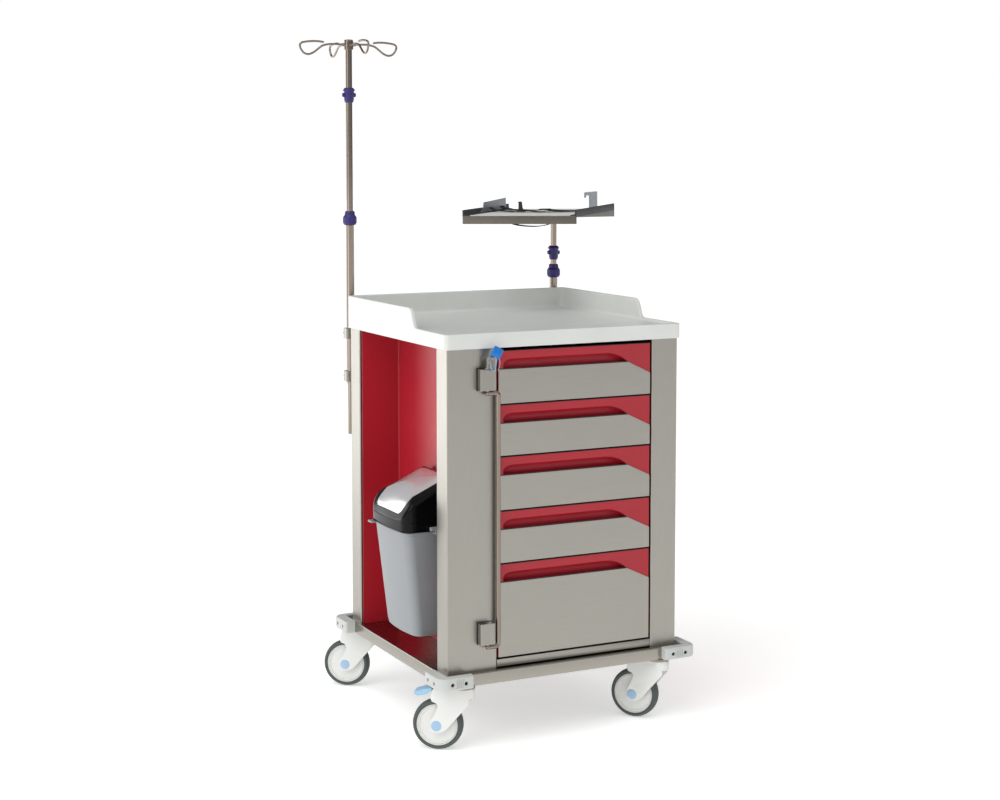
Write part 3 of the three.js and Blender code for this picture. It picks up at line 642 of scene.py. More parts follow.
def make_wheel(corner, place, hub):
    flat = Matrix.Rotation(math.radians(90), 4, "X")
    disc_half = [(0, 17), (14, 17), (15.5, 16.2), (16.5, 12.6), (30, 11.4), (43.4, 12.2), (44.2, 14.6),
                 (46.2, 14.9), (46.9, 12.4), (48.5, 12.4), (49.2, 14.9), (50.6, 14.6), (51.3, 13.2)]
    profile = disc_half + [(r, -y) for r, y in reversed(disc_half)]
    tread = [(51.8, 14.8), (53.2, 15.6), (56.5, 15.9), (58.6, 14.6), (60.6, 11.4), (61.8, 7), (62.4, 2.5)]
    ring = tread + [(r, -y) for r, y in reversed(tread)]
    body = f"castor_wheel_{corner}"
    wheel = moved(revolve(profile, 72), hub @ flat)
    tyre = moved(revolve(ring, 96, ring=True), hub @ flat)
    part(f"wheel_{corner}_disc", [wheel], NYLON, body, place, replaces=[f"wheel_{corner}"], sharp=50)
    part(f"tyre_{corner}_ring", [tyre], RUBBER, body, place, replaces=[f"tyre_{corner}"], sharp=60)


def make_pedal(corner, place):
    side = fillet([
        (74.8, 146, 1), (88, 137, 16), (112, 132.6, 8), (120.6, 136, 2.6), (119, 143, 3.4),
        (98, 150.6, 16), (74.8, 155, 1),
    ], 6)
    hinge = Vector((74.8, 147))
    rings = []
    for y, scale in ((-19, 0.86), (-17.8, 0.96), (-15, 1), (15, 1), (17.8, 0.96), (19, 0.86)):
        level = [hinge + (p - hinge) * scale for p in side]
        rings.append([(p.x, y, p.y) for p in level])
    part(f"brake_pedal_{corner}_tread", [loft(rings)], PEDAL, f"brake_{corner}", place,
         replaces=[f"brake_pedal_{corner}"])


# ---------------------------------------------------------------- body panels

HEM = 20  # the turned-in edge of a column


def make_columns():
    for corner, (sx, sy) in CORNERS.items():
        low, high = extent(f"column_{corner}")
        outer, inner = max(abs(low.x), abs(high.x)), min(abs(low.x), abs(high.x))
        back, flange = max(abs(low.y), abs(high.y)), min(abs(low.y), abs(high.y))
        path = [(inner, back - HEM), (inner, back, BEND), (outer, back, BEND)]
        path += [(outer, flange, BEND), (outer - HEM, flange)]
        path = [(sx * p[0], sy * p[1], *p[2:]) for p in path]
        if sx * sy > 0:
            path = path[::-1]
        section = strip(fillet(path, 6, closed=False))
        solid = extrusion(section, "z", low.z, high.z)
        part(f"column_{corner}_folded", [solid], SATIN, "trolley", replaces=[f"column_{corner}"])


def make_bay():
    low, high = extent("bay_panel")
    wall, back = high.x - SHEET, high.y - SHEET
    path = fillet([(low.x, back), (wall, back, BEND), (wall, low.y)], 6, closed=False)
    solid = extrusion(strip(path), "z", low.z, high.z)
    part("bay_panel_folded", [solid], RED, "trolley", replaces=["bay_panel"])


def make_back_rivets():
    low, high = extent("back_panel")
    rivet = revolve([(0, 1.5), (1.6, 1.3), (2.8, 0.6), (3.2, 0), (3.2, -0.6), (0, -0.6)], 16)
    first, pitch = 240, 140
    solids = []
    for x in (low.x + 14, high.x - 14):
        for k in range(6):
            solids.append(moved(rivet, Matrix.Translation((x, high.y, first + k * pitch)) @ FACING_BACK))
    part("back_panel_rivets", solids, BRIGHT, "trolley")


# ---------------------------------------------------------------- drawers

CHAMFER = (63, 30)  # the corner cut off each drawer's steel plate
RED_BAND = 44  # red moulding that shows above the plate
# The finger pocket: its ends, and how far its edges are below the drawer's top.
POCKET = {"left": -170, "right": 176, "top": 19, "bottom": 76}
# The box behind a drawer's front: its sides, its rim below the top and its runners above the bottom.
DRAWER_BOX = {"left": -172, "right": 230, "rim": 22, "runner": 55.5}


def pocket_tool(front, top, bottom):
    """The finger pocket: a long lens that narrows smoothly towards its back."""
    left, right = POCKET["left"], POCKET["right"]
    upper, lower = top - POCKET["top"], max(top - POCKET["bottom"], bottom + 6)
    outline = [Vector((left, lower)), Vector((right, lower)), Vector((right, upper - 24))]
    outline += bezier(
        (right, upper - 24), (right - 16, upper - 8), (right - 40, upper), (right - 66, upper), 14
    )[1:]
    outline += bezier((left + 30, upper), (left + 12, upper), (left, upper - 6), (left, upper - 16), 10)
    centre = Vector(((left + right) / 2, (upper + lower) / 2 - 6))
    levels = ((-2, 1, 1), (2, 1, 1), (7, 0.95, 0.992), (11, 0.84, 0.98), (14, 0.62, 0.955))
    rings = []
    for depth, rise, length in levels:
        ring = [centre + Vector(((p - centre).x * length, (p - centre).y * rise)) for p in outline]
        rings.append([(p.x, front + depth, p.y) for p in ring])
    return raw("pocket", [loft(rings)])


def make_drawer(k):
    body = f"drawer_{k}"
    low, high = extent(f"drawer_front_{k}")
    box_low, box_high = extent(f"drawer_box_{k}")
    left, right, top = low.x, high.x, high.z
    bottom, face, back = box_low.z, box_low.y, box_high.y
    plate_top = top - RED_BAND
    moulding = raw(f"drawer_{k}_moulding", [box(left, right, low.y, high.y, low.z, top)])
    carve(moulding, pocket_tool(low.y, top, bottom))
    dress(moulding, RED, body, bevel=1.0, segments=3, replaces=[f"drawer_front_{k}"])
    plate = extrusion([
        (left, bottom), (right, bottom), (right, plate_top - CHAMFER[1]), (right - CHAMFER[0], plate_top),
        (left, plate_top),
    ], "y", face, face + SHEET)
    sill = box(left, right, face + 0.1, face + 20, bottom, bottom + SHEET)
    part(f"drawer_{k}_plate", [plate], SATIN_ACROSS, body, bevel=0.6, replaces=[f"drawer_box_{k}"])
    part(f"drawer_{k}_sill", [sill], SATIN_ACROSS, body, bevel=0.5)
    rim = top - DRAWER_BOX["rim"]
    inner, outer = ((6, 1.5), (3.2, 2.2), (1.8, 3.8), (1.5, 6)), ((0, 5), (0.6, 2), (2, 0.6), (5, 0))
    profile = [(inset, bottom + z) for inset, z in inner]
    profile += [(1.5, rim - 1), (1.1, rim - 0.2), (0.4, rim - 0.2), (0, rim - 1)]
    profile += [(inset, bottom + z) for inset, z in outer]
    x0, x1, y0 = DRAWER_BOX["left"], DRAWER_BOX["right"], face + 20.2
    tray = pan(x1 - x0, back - y0, 5, profile, (x0 + x1) / 2, (y0 + back) / 2)
    part(f"drawer_{k}_tray", [tray], SATIN_ACROSS, body)
    # Black strips on the moulding's top and just behind the plate's top edge: painted shade for the dark
    # gap above each drawer and the shadowed slot behind the plate.
    shadow_strips = [box(left, right, low.y + 1.2, high.y, top, top + 1.4)]
    shadow_strips.append(box(left, right - CHAMFER[0], face + SHEET, low.y + 1, plate_top - 6, plate_top + 2.2))
    part(f"drawer_{k}_seals", shadow_strips, BLACK, body, bevel=0.3)
    z = bottom + DRAWER_BOX["runner"]
    runners = []
    for x, side in ((x0, -1), (x1, 1)):
        path = [(x + side * 11, z + 1.8), (x + side * 0.2, z + 1.8, 1.8), (x + side * 0.2, z - 16)]
        section = strip(fillet(path, 4, closed=False), -1.5 * side)
        runners.append(extrusion(section, "y", y0 + 4, back - 2))
    part(f"drawer_{k}_runners", runners, BRIGHT, body)


# ---------------------------------------------------------------- worktop

def worktop_ring(half_x, half_y, profile_at, index, side):
    """One ring of the worktop's skin, with more points where the side walls step down."""
    ring = []

    def add(x, y, top):
        ring.append((x, y, profile_at(top)[index][1]))

    inset = profile_at(side[0][1])[index][0]
    front = inset + 4 * min(inset / 10, 1)
    radius = 12 + 0.2 * inset
    a, y0, y1 = half_x - inset - radius, -half_y + front + radius, half_y - inset - radius
    low, high = side[0][1], side[-1][1]
    for cx, cy, start, top in ((a, y0, -90, low), (a, y1, 0, high), (-a, y1, 90, high), (-a, y0, 180, low)):
        if start == 180:
            for y, z in reversed(side):
                add(-half_x + inset, y, z)
        for x, y in arc(radius, start, start + 90, 8, cx, cy):
            add(x, y, top)
        if start == -90:
            for y, z in side:
                add(half_x - inset, y, z)
    return ring


def make_worktop():
    low, high = extent("worktop")
    half_x, half_y = (high.x - low.x) / 2, (high.y - low.y) / 2
    skirt, wall = low.z, high.z
    underside, floor, lip = skirt + 13.5, skirt + 31.5, skirt + 37.5
    thick = 10
    step = [(p.x, p.y) for p in bezier((-142, lip), (-108, lip + 1), (-125, wall), (-90, wall), 26)]
    side = [(-220, lip), (-160, lip), *step, (-60, wall), (60, wall), (200, wall)]

    def profile_at(top):
        crown = min(3.0, (top - floor) * 0.42)
        foot = min(9.0, (top - floor) * 0.5)
        profile = [(5, underside), (5, skirt + 0.8), (4.4, skirt), (0.9, skirt), (0, skirt + 0.9)]
        profile += [(crown - x, top - crown + z) for x, z in arc(crown, 0, 90, 4)]
        profile += [(thick - crown + x, top - crown + z) for x, z in arc(crown, 90, 0, 4)]
        profile += [(thick + foot - x, floor + foot - z) for x, z in arc(foot, 0, 90, 6)]
        return profile

    rings = [worktop_ring(half_x, half_y, profile_at, i, side) for i in range(len(profile_at(wall)))]
    part("worktop_moulding", [loft(rings)], WORKTOP, "trolley", replaces=["worktop"], sharp=50)


# ---------------------------------------------------------------- lock bar and seal

BRACKET_BODY = 52  # height of a lock bracket's folded cover
TONGUE_HOLE = 11  # its centre is this far in from the tongue's side and top
BAR_DROP = 7  # each arm of the bar lies this far below its bracket


def make_lock():
    hinge = joint_place("lock_bar_hinge")
    levels = []
    for name, tongue in (("lock_bracket_top", True), ("lock_bracket_bottom", False)):
        low, high = extent(name)
        z0, z1 = low.z, low.z + BRACKET_BODY
        levels.append(z0 - BAR_DROP)
        left, right, front, back = low.x, high.x, low.y, high.y
        path = fillet([(right, back), (left, back, 2), (left, front, 2.4), (right, front)], 4, closed=False)
        cover = extrusion(strip(path), "z", z0, z1)
        bore = arc(4.6, 0, 360, 20, hinge.x, hinge.y)[:-1]
        plan = [(left + 0.8, front + 0.8, 2), (right, front + 0.8), (right, back), (left + 0.8, back)]
        floor = extrusion(fillet(plan, 4), "z", z0 + 0.2, z0 + 2.6, [bore])
        solids = [cover, floor]
        if tongue:
            hole_x, hole_z = right - TONGUE_HOLE, high.z - TONGUE_HOLE
            outline = [Vector((left + 7, z1 - 1.5)), Vector((right, z1 - 1.5))]
            outline += [Vector(p) for p in arc(TONGUE_HOLE, 0, 180, 14, hole_x, hole_z)]
            foot = right - 22
            outline += bezier((foot, z1 + 12), (foot, z1 + 3), (foot - 4, z1), (left + 7, z1), 8)
            hole = arc(4.5, 0, 360, 20, hole_x, hole_z)[:-1]
            solids.append(extrusion(outline, "y", front, front + SHEET, [hole]))
        part(f"{name}_folded", solids, SATIN, "trolley", bevel=0.35, replaces=[name])
        gasket = box(left - 1.6, right + 1.6, back - 0.5, back + 0.2, z0 - 1.6, z1 + 1.6)
        part(f"{name}_gasket", [gasket], BLACK, "trolley")
    radius = 6
    x, y = extent("lock_bar")[1].x - radius, hinge.y
    top, bottom = levels
    route = [(hinge.x, y, top), (x, y, top), (x, y, bottom), (hinge.x, y, bottom)]
    bar = sweep(round_corners(route, 7), radius - 0.1, 20)
    pins = []
    for z in levels:
        profile = [(0, z), (4, z), (4, z + 11), (5, z + 11.3), (5.5, z + 12)]
        profile += [(5.5, z + 13.2), (4.6, z + 14), (0, z + 14)]
        pins.append(shift(revolve(profile, 24), hinge.x, y))
    part("lock_bar_rod", [bar, *pins], BRIGHT, "lock_bar", replaces=["lock_bar"])
    make_seal()


def make_seal():
    bracket_low, bracket_high = extent("lock_bracket_top")
    x, z = bracket_high.x - TONGUE_HOLE, bracket_high.z - TONGUE_HOLE
    y = bracket_low.y + SHEET / 2
    tag_outline = rounded_rect(26, 25, 3)
    rings = []
    for level, inset in ((-2.6, 1.2), (-1.8, 0), (1.8, 0), (2.6, 1.2)):
        rings.append([(p.x * (1 - inset / 13), level, p.y * (1 - inset / 13)) for p in tag_outline])
    tag = loft(rings)
    fold = loft([[(p.x * 0.3, level, p.y * 0.22) for p in tag_outline] for level in (-4.4, -2)])
    tilt = Matrix.Translation((x + 11, y - 12, z + 18)) @ Matrix.Rotation(math.radians(30), 4, "Y")
    solids = [moved(tag, tilt), moved(shift(fold, -3, 0, 5), tilt)]
    part("lock_seal_tag", solids, SEAL, "trolley", bevel=0.3, replaces=["lock_seal"])
    loop = [
        (8, -10, 10), (2, -8, 2), (0, 0, 0), (-1, 5, -4), (-2, -4, -14), (-1, -9, -24), (4, -10, -27),
        (8, -10, -20), (10, -11, -4), (12, -11, 10),
    ]
    tail = [(16, -11, 8), (19, -11, -4), (18, -11, -16), (14, -11, -26)]
    wires = [sweep(smooth_path(route, 6), size, 10) for route, size in ((loop, 1.3), (tail, 0.9))]
    part("lock_seal_loop", [shift(wire, x, y, z) for wire in wires], SEAL_LOOP, "trolley")


# ---------------------------------------------------------------- masts

def collar(x, y, z, bore, profile, *extras):
    """A turned collar at a place on a mast, with the pieces that stand out from it."""
    ring = [(bore, profile[0][1]), *profile, (bore, profile[-1][1])]
    return [shift(solid, x, y, z) for solid in (revolve(ring, 48, ring=True), *extras)]


def tube_profile(bore, radius, low, high, rim):
    """A tube's section, with rounded rims. rim is the inner and outer radius of each flat end."""
    end = [(bore, 0.6), (rim[0], 0), (rim[1], 0), (radius, 0.6)]
    return [(r, low + z) for r, z in end] + [(r, high - z) for r, z in reversed(end)]


CLAMPS = {"above_foot": 20, "upper": 960, "half": 14}  # levels of the clamps that hold each mast


def make_mast(name, body, clamp_body, hand):
    """A mast: an outer tube in two clamps, a sliding inner tube and its two collars."""
    outer_low, outer_high = extent(f"{name}_outer_tube")
    inner_low, inner_high = extent(f"{name}_inner_tube")
    x, y = (inner_low.x + inner_high.x) / 2, (inner_low.y + inner_high.y) / 2
    outer = tube_profile(9, 11, outer_low.z, outer_high.z, (9.6, 10.4))
    inner = tube_profile(6.8, 8.5, inner_low.z, inner_high.z, (7.3, 7.9))
    tube = shift(revolve(outer, 64, ring=True), x, y)
    part(f"{name}_outer_tube_turned", [tube], BRIGHT, "trolley", replaces=[f"{name}_outer_tube"])
    rod = shift(revolve(inner, 56, ring=True), x, y)
    part(f"{name}_inner_tube_turned", [rod], BRIGHT, body, replaces=[f"{name}_inner_tube"])
    clamps, screws = [], []
    face = extent("column_rear_left")[1].y + 0.3
    for z in (outer_low.z + CLAMPS["above_foot"], CLAMPS["upper"]):
        arm_x = x + hand * 6
        outline = fillet([
            (arm_x - 12, face), (arm_x + 12, face), (arm_x + 12, y - 12), (x + 16, y - 10, 5),
            (x + 16, y + 15, 6), (x - 16, y + 15, 6), (x - 16, y - 10, 5), (arm_x - 12, y - 12),
        ], 5)
        bore = arc(11, 0, 360, 40, x, y)[:-1]
        clamps.append(extrusion(outline, "z", z - CLAMPS["half"], z + CLAMPS["half"], [bore]))
        for side in (-1, 1):
            at = Matrix.Translation((x + side * 12.5, y + 15, z)) @ FACING_BACK
            screws.append(moved(screw_head(2.6, 1.8), at))
    part(f"{name}_clamps", clamps, SATIN, "trolley", bevel=0.8)
    part(f"{name}_clamp_screws", screws, BLACK, "trolley")
    make_lock_collar(name, clamp_body, x, y)
    make_stop_collar(name, body, x, y)


def make_lock_collar(name, body, x, y):
    z = extent(f"{name}_lock_collar")[0].z
    profile = [
        (14, 0), (15.4, 0.6), (17.2, 3.6), (17.5, 5), (17.5, 21), (17, 22.6), (14, 26.4), (13.5, 28),
        (13.5, 32.4), (13, 33.6), (11.9, 36.4), (11.2, 37),
    ]
    rib = extrusion(rounded_rect(2.4, 3.4, 1.1, 17.2, 0, 4), "z", 5.5, 20.5)
    ribs = [turned(rib, 30 * k, "Z") for k in range(12)]
    solids = collar(x, y, z, 8.9, profile, *ribs)
    part(f"{name}_lock_collar_grip", solids, COLLAR, body, replaces=[f"{name}_lock_collar"])


def make_stop_collar(name, body, x, y):
    z = extent(f"{name}_stop_collar")[0].z
    profile = [
        (10.4, 0), (11.2, 0.8), (13, 8), (13, 27), (13.4, 28.6), (15.2, 30.8), (15.5, 31.6), (15.5, 33.4),
        (15, 34.4), (11.8, 38.4), (11, 39),
    ]
    wing = extrusion(fillet([(10, 13), (19, 15.5, 3), (19, 24.5, 3), (10, 27)], 5), "y", -2.6, 2.6)
    solids = collar(x, y, z, 8.8, profile, wing, turned(wing, 180, "Z"))
    part(f"{name}_stop_collar_winged", solids, COLLAR, body, replaces=[f"{name}_stop_collar"])


def make_hooks():
    low, high = extent("iv_hook_head")
    x, y, z = (low.x + high.x) / 2, (low.y + high.y) / 2, high.z - 14
    route = [
        (8, 0), (30, 1), (52, 1), (72, -3), (86, -12), (98, -21), (112, -26.5), (125, -24), (134, -14),
        (137, -4), (132, 3), (118, 6), (100, 7.6), (84, 7.4), (72, 6),
    ]
    wire = sweep(smooth_path([(along, 0, rise) for along, rise in route], 6), 2.75, 14)
    hub = revolve([
        (0, -11.5), (8.9, -11.5), (9.3, -12.6), (11, -13), (12, -12), (12, 10.4), (11.4, 12), (9.6, 13.3),
        (5, 14), (0, 14),
    ], 48)
    ferrule = revolve([(0, 9), (4.2, 9), (4.2, 18.8), (3.6, 19.8), (2.8, 20), (0, 20)], 24)
    ferrule = turned(ferrule, 90, "Y")
    arms = [turned(solid, 90 * k, "Z") for k in range(4) for solid in (wire, ferrule)]
    solids = [shift(solid, x, y, z) for solid in (hub, *arms)]
    part("iv_hook_head_wires", solids, BRIGHT, "iv_mast", replaces=["iv_hook_head"])


# ---------------------------------------------------------------- monitor tray

# The tray's plan about the post, and the height of its side skirts at the front.
TRAY = {"width": 322, "depth": 405, "height": 22, "side": -24, "forward": 48, "skirt_front": 4}


def make_tray():
    place = tray_frame()
    bottom = JOINTS["monitor_tray_swivel"]["pos_m"][2] * 1000
    top = bottom + TRAY["height"]
    left, right = TRAY["side"] - TRAY["width"] / 2, TRAY["side"] + TRAY["width"] / 2
    front, back = -TRAY["depth"] / 2 - TRAY["forward"], TRAY["depth"] / 2 - TRAY["forward"]
    profile = [(SHEET, top - SHEET), (SHEET, bottom), (0, bottom)]
    profile += [(2.5 - x, top - 2.5 + z) for x, z in arc(2.5, 0, 90, 4)]
    shell = pan(TRAY["width"], TRAY["depth"], 3, profile, TRAY["side"], (front + back) / 2)
    below, skirt = bottom - 5, top - TRAY["skirt_front"]
    under = [(front + 3, below), (back - 3, below), (back - 3, bottom), (front + 3, skirt)]
    piece = raw("monitor_tray_pan", [shell], place)
    carve(piece, raw("under", [extrusion(under, "x", left - 5, right + 5)], place))
    dress(piece, SHADED_TRAY_STEEL, "monitor_tray", replaces=["monitor_tray"])
    foot = bottom - 11.5
    profile = [(r, foot + z) for r, z in ((0, 0), (19, 0), (20, 1), (20, 8), (21.5, 10), (30, 12))]
    boss = revolve([*profile, (30, top - 1), (0, top - 1)], 48)
    part("monitor_tray_boss", [boss], SHADED_TRAY_STEEL, "monitor_tray", place)
    mat = pan(TRAY["width"] - 36, TRAY["depth"] - 12, 4, [(0, top - 0.5), (0, top + 0.7), (0.5, top + 1.1)],
              TRAY["side"], (front + back) / 2)
    part("monitor_tray_mat", [mat], TRAY_MAT, "monitor_tray", place)
    bands = []
    for x, inward in ((left, 1), (right, -1)):
        edge, toe = x + inward * 4.5, x + inward * 16
        outline = fillet([
            (x, top - 1), (x, top + 16, 1.8), (edge, top + 16, 1.8), (edge, top + 4, 3),
            (toe, top + 2.2, 1), (toe, top - 0.5),
        ], 4)
        bands.append(extrusion(outline, "y", front + 2, back - 2))
    part("monitor_tray_bands", bands, EDGE_RUBBER, "monitor_tray", place, bevel=0.4)
    plate = fillet([
        (-118, top + 3), (-88, top + 14, 8), (-84, top + 30, 3), (118, top + 35, 3), (118, top + 3),
    ], 5)
    hook = fillet([
        (62, top), (62, top + 39, 2), (54, top + 39, 2), (54, top + 32, 1), (48, top + 32, 1),
        (48, top + 48, 4), (87, top + 51, 2), (87, top),
    ], 4)
    clips = [extrusion(plate, "x", left + 4.8, left + 6.8), extrusion(hook, "y", back - 4.5, back - 2.5)]
    part("monitor_tray_clips", clips, ZINC, "monitor_tray", place, bevel=0.5)
    make_strap(place, top, bottom, front, left, right)


def make_strap(place, top, bottom, front, left, right):
    """The retaining strap: two loose runs across the tray, a buckle and a run that sags below it."""
    z = top + 2
    wide, thin = 22, 1.8
    across = smooth_path([
        (left + 8, -24, z + 11), (left + 26, -40, z + 4), (-110, -62, z + 1.6), (-86, -76, z + 2),
        (-66, -80, z + 6), (-40, -82, z + 3), (-14, -84, z + 1.4), (12, -80, z + 4), (40, -74, z + 1.6),
        (80, -66, z + 2), (right - 22, -60, z + 4), (right - 7, -58, z + 11),
    ], 6)
    second = smooth_path([
        (left + 8, 74, z + 11), (left + 26, 62, z + 3), (-96, 20, z + 1.6), (-50, -24, z + 2),
        (-8, -52, z + 6), (30, -40, z + 3), (70, -14, z + 1.6), (right - 22, 6, z + 4),
        (right - 7, 12, z + 11),
    ], 6)
    solids = [ribbon(across, (0, 1, 0), wide, thin), ribbon(second, (0.35, 1, 0), wide, thin)]
    part("tray_strap_webbing", solids, WEBBING, "monitor_tray", place, replaces=["tray_strap"])
    sag = [(-64, 6), (-48, 1), (-24, -4.5), (14, -7), (42, -4.5), (62, 1), (74, 6)]
    below = smooth_path([(x, front + 16, bottom + rise) for x, rise in sag], 6)
    part("tray_strap_sag", [ribbon(below, (0, 1, 0), wide, 2.0)], WEBBING, "monitor_tray", place)
    frame_outline = rounded_rect(30, 26, 4, -4, -68)
    opening = rounded_rect(20, 16, 2.5, -4, -68)
    buckle = extrusion(frame_outline, "z", z + 6, z + 9, [opening])
    lever = fillet([
        (-79, z + 1), (-75, z + 10, 6), (-74.5, z + 25, 2), (-77, z + 30, 1.5), (-70, z + 29, 2),
        (-69, z + 20, 4), (-67.5, z + 9, 8), (-58, z + 3, 2), (-58, z + 1),
    ], 5)
    solids = [buckle, extrusion(lever, "y", -90, -72)]
    part("tray_strap_buckle", solids, BLACK, "monitor_tray", place, bevel=0.6)


# ---------------------------------------------------------------- waste bin

# The flap's half width and length, the gap round it, and the slope of the lid's window in radians.
FLAP = {"half": 79, "clear": 1.6, "tilt": 0.72, "length": 158}


def bin_outline(front, back, width, inset, y):
    """One level of the bin: a rounded rectangle with a bowed front. Its back is at the bay's wall."""
    half = width / 2 - inset
    x0, x1 = front + inset, back - inset
    r = 26 - inset
    side = y + half
    outline = [Vector((x1, side - 6)), Vector((x1 - 1.8, side - 1.8)), Vector((x1 - 6, side))]
    corner = bezier((x0 + r, side), (x0 + 9, side), (x0 + 3.5, side - 10), (x0 + 2, side - r), 8)
    outline += corner
    for step in range(1, 10):
        t = 1 - 2 * step / 10
        outline.append(Vector((x0 - 3 + 5 * t * t, y + t * (half - r))))
    outline += [Vector((p.x, 2 * y - p.y)) for p in reversed(corner)]
    side = y - half
    return outline + [Vector((x1 - 6, side)), Vector((x1 - 1.8, side + 1.8)), Vector((x1, side + 6))]


# The bucket's straight back, and its front and width at the foot and at the rim.
BUCKET = {"back": -220, "front": (-345, -374), "width": (186, 206), "wall": 2.4}
# The lid stands this far out past the rim, and this far below the top of the frame's lid.
LID = {"proud": 5, "lower": 9}
LUG_X = -293  # the middle of the two lugs at the bin's sides


def make_bin():
    low, high = extent("bin_bucket")
    y = (low.y + high.y) / 2
    rim, bottom, wall = high.z, low.z, BUCKET["wall"]
    front, width = BUCKET["front"], BUCKET["width"]

    def ring(z, inset=0.0, grow=0.0):
        t = (z - bottom) / (rim - bottom)
        front_here = front[0] + (front[1] - front[0]) * t
        width_here = width[0] + (width[1] - width[0]) * t
        outline = bin_outline(front_here - grow, BUCKET["back"], width_here + 2 * grow, inset, y)
        return [(p.x, p.y, z) for p in outline]

    foot = ((0, 5), (0.8, 2.6), (3, 1.2), (11, 1.0), (12, 0.1), (16, 0))
    rings = [ring(bottom + z, inset) for z, inset in foot]
    rings += [ring(bottom + 16 + (rim - 32 - bottom - 16) * k / 6) for k in range(1, 7)]
    lip = ((9, 0), (8, 0.6), (7, 1.6), (1, 1.6), (0.2, 1), (0, 0.2))
    rings += [ring(rim - z, 0, grow) for z, grow in lip]
    inside = ((rim, wall - 0.6), (rim - 1, wall), (rim - 120, wall), (bottom + 18, wall))
    rings += [ring(z, inset) for z, inset in (*inside, (bottom + 6, wall + 1.4), (bottom + 3.4, wall + 5))]
    wall_face = extent("bay_panel")[1].x - SHEET - 0.8
    hanger = box(BUCKET["back"] - 2, wall_face, y - 45, y + 45, rim - 3, rim)
    part("bin_bucket_moulding", [loft(rings)], BIN, "bin", replaces=["bin_bucket"], sharp=50)
    part("bin_hanger", [hanger], BIN, "bin", bevel=0.6)
    tabs = [box(-386, -362, y + 80, y + 104, rim - 6, rim - 1)]
    for side in (-1, 1):
        arm, lug = sorted((y + side * 101, y + side * 120)), sorted((y + side * 113, y + side * 124))
        tabs.append(box(LUG_X - 7, LUG_X + 7, *arm, rim - 6, rim - 1))
        tabs.append(box(LUG_X - 7, LUG_X + 7, lug[0], lug[1] - 4, rim - 6, rim + 6))
        tabs.append(box(LUG_X - 19, LUG_X + 19, *lug, rim + 4, rim + 13))
    part("bin_side_tabs", tabs, BIN, "bin", bevel=1.2, segments=3)
    make_lid(y, rim, extent("bin_lid")[1].z - LID["lower"])


def make_lid(y, rim, top):
    bottom = rim + 0.3
    back, front = BUCKET["back"] - 1, BUCKET["front"][1] - LID["proud"]
    width = BUCKET["width"][1] + 2 * LID["proud"]
    slope = bezier((back - 26, top), (back - 80, top), (front + 14, top - 50), (front, rim + 38), 40)

    def height(x, across):
        """The lid's top above a point: flat at the back, sloping to the nose, crowned across."""
        z = top if x >= slope[0].x else slope[-1].y
        for p, q in zip(slope, slope[1:]):
            if q.x <= x < p.x:
                z = p.y + (q.y - p.y) * (p.x - x) / max(p.x - q.x, 1e-6)
                break
        return z - 5 * (across / (width / 2)) ** 2

    def shell(inset, drop, foot):
        edge = 10
        rings = [[(p.x, p.y, foot) for p in bin_outline(front, back, width, inset, y)]]
        for angle in (0, 20, 40, 60, 80):
            a = math.radians(angle)
            inward = inset + edge * (1 - math.cos(a))
            outline = bin_outline(front, back, width, inward, y)
            fall = edge * (1 - math.sin(a)) + drop
            rings.append([(p.x, p.y, height(p.x, p.y - y) - fall) for p in outline])
        middle = Vector(((front + back) / 2, y))
        last = bin_outline(front, back, width, inset + edge, y)
        for scale in (1, 0.9, 0.78, 0.64, 0.5, 0.36, 0.22, 0.08):
            ring = [middle + (p - middle) * scale for p in last]
            rings.append([(p.x, p.y, height(p.x, p.y - y) - drop) for p in ring])
        return raw("shell", [loft(rings)])

    axis = joint_place("bin_flap_swing")

    def window(half, length, radius):
        outline = rounded_rect(length, 2 * half, radius, 0, 0, 8)
        solid = turned(extrusion(outline, "z", -30, 90), -math.degrees(FLAP["tilt"]), "Y")
        return raw("window", [shift(solid, axis.x, y, axis.z)])

    lid = shell(0, 0, bottom)
    carve(lid, shell(2.5, 2.5, bottom - 3), window(FLAP["half"], FLAP["length"], 20))
    lid.name = "bin_lid_shell"
    dress(lid, GLOSS_BLACK, "bin_lid", replaces=["bin_lid"], sharp=30)
    flap = shell(0.4, 0.4, rim + 6)
    carve(flap, shell(2.9, 2.9, rim))
    clear = FLAP["clear"]
    carve(flap, window(FLAP["half"] - clear, FLAP["length"] - 2 * clear, 19), operation="INTERSECT")
    flap.name = "bin_flap_shell"
    dress(flap, SILVER, "bin_flap", replaces=["bin_flap"], sharp=30)
    bands = []
    for z, size in ((rim + 2.4, 1.6), (rim + 25, 1.0)):
        path = [Vector((p.x, p.y, z)) for p in bin_outline(front, back - 2, width, -0.2, y)]
        bands.append(sweep(path, size, 8))
    part("bin_lid_beads", bands, GLOSS_BLACK, "bin_lid")


# ---------------------------------------------------------------- camera, floor and light

# Where the camera stands and how it looks, about the body's centre line.
CAMERA = {
    "place": (-2156.0, -4283.7, 1470.0), "azimuth": 26.422, "down": 4.85, "lens": 66.91, "shift": -0.10
}


def make_camera():
    data = bpy.data.cameras.new("camera")
    data.sensor_width = 36
    data.lens = CAMERA["lens"]
    data.shift_y = CAMERA["shift"]
    data.clip_end = 60
    camera = bpy.data.objects.new("camera", data)
    bpy.context.scene.collection.objects.link(camera)
    camera.location = BODY_FRAME @ Vector(CAMERA["place"])
    across, down = math.radians(CAMERA["azimuth"]), math.radians(CAMERA["down"])
    camera.rotation_euler = (math.pi / 2 - down, 0, -across)
    bpy.context.scene.camera = camera


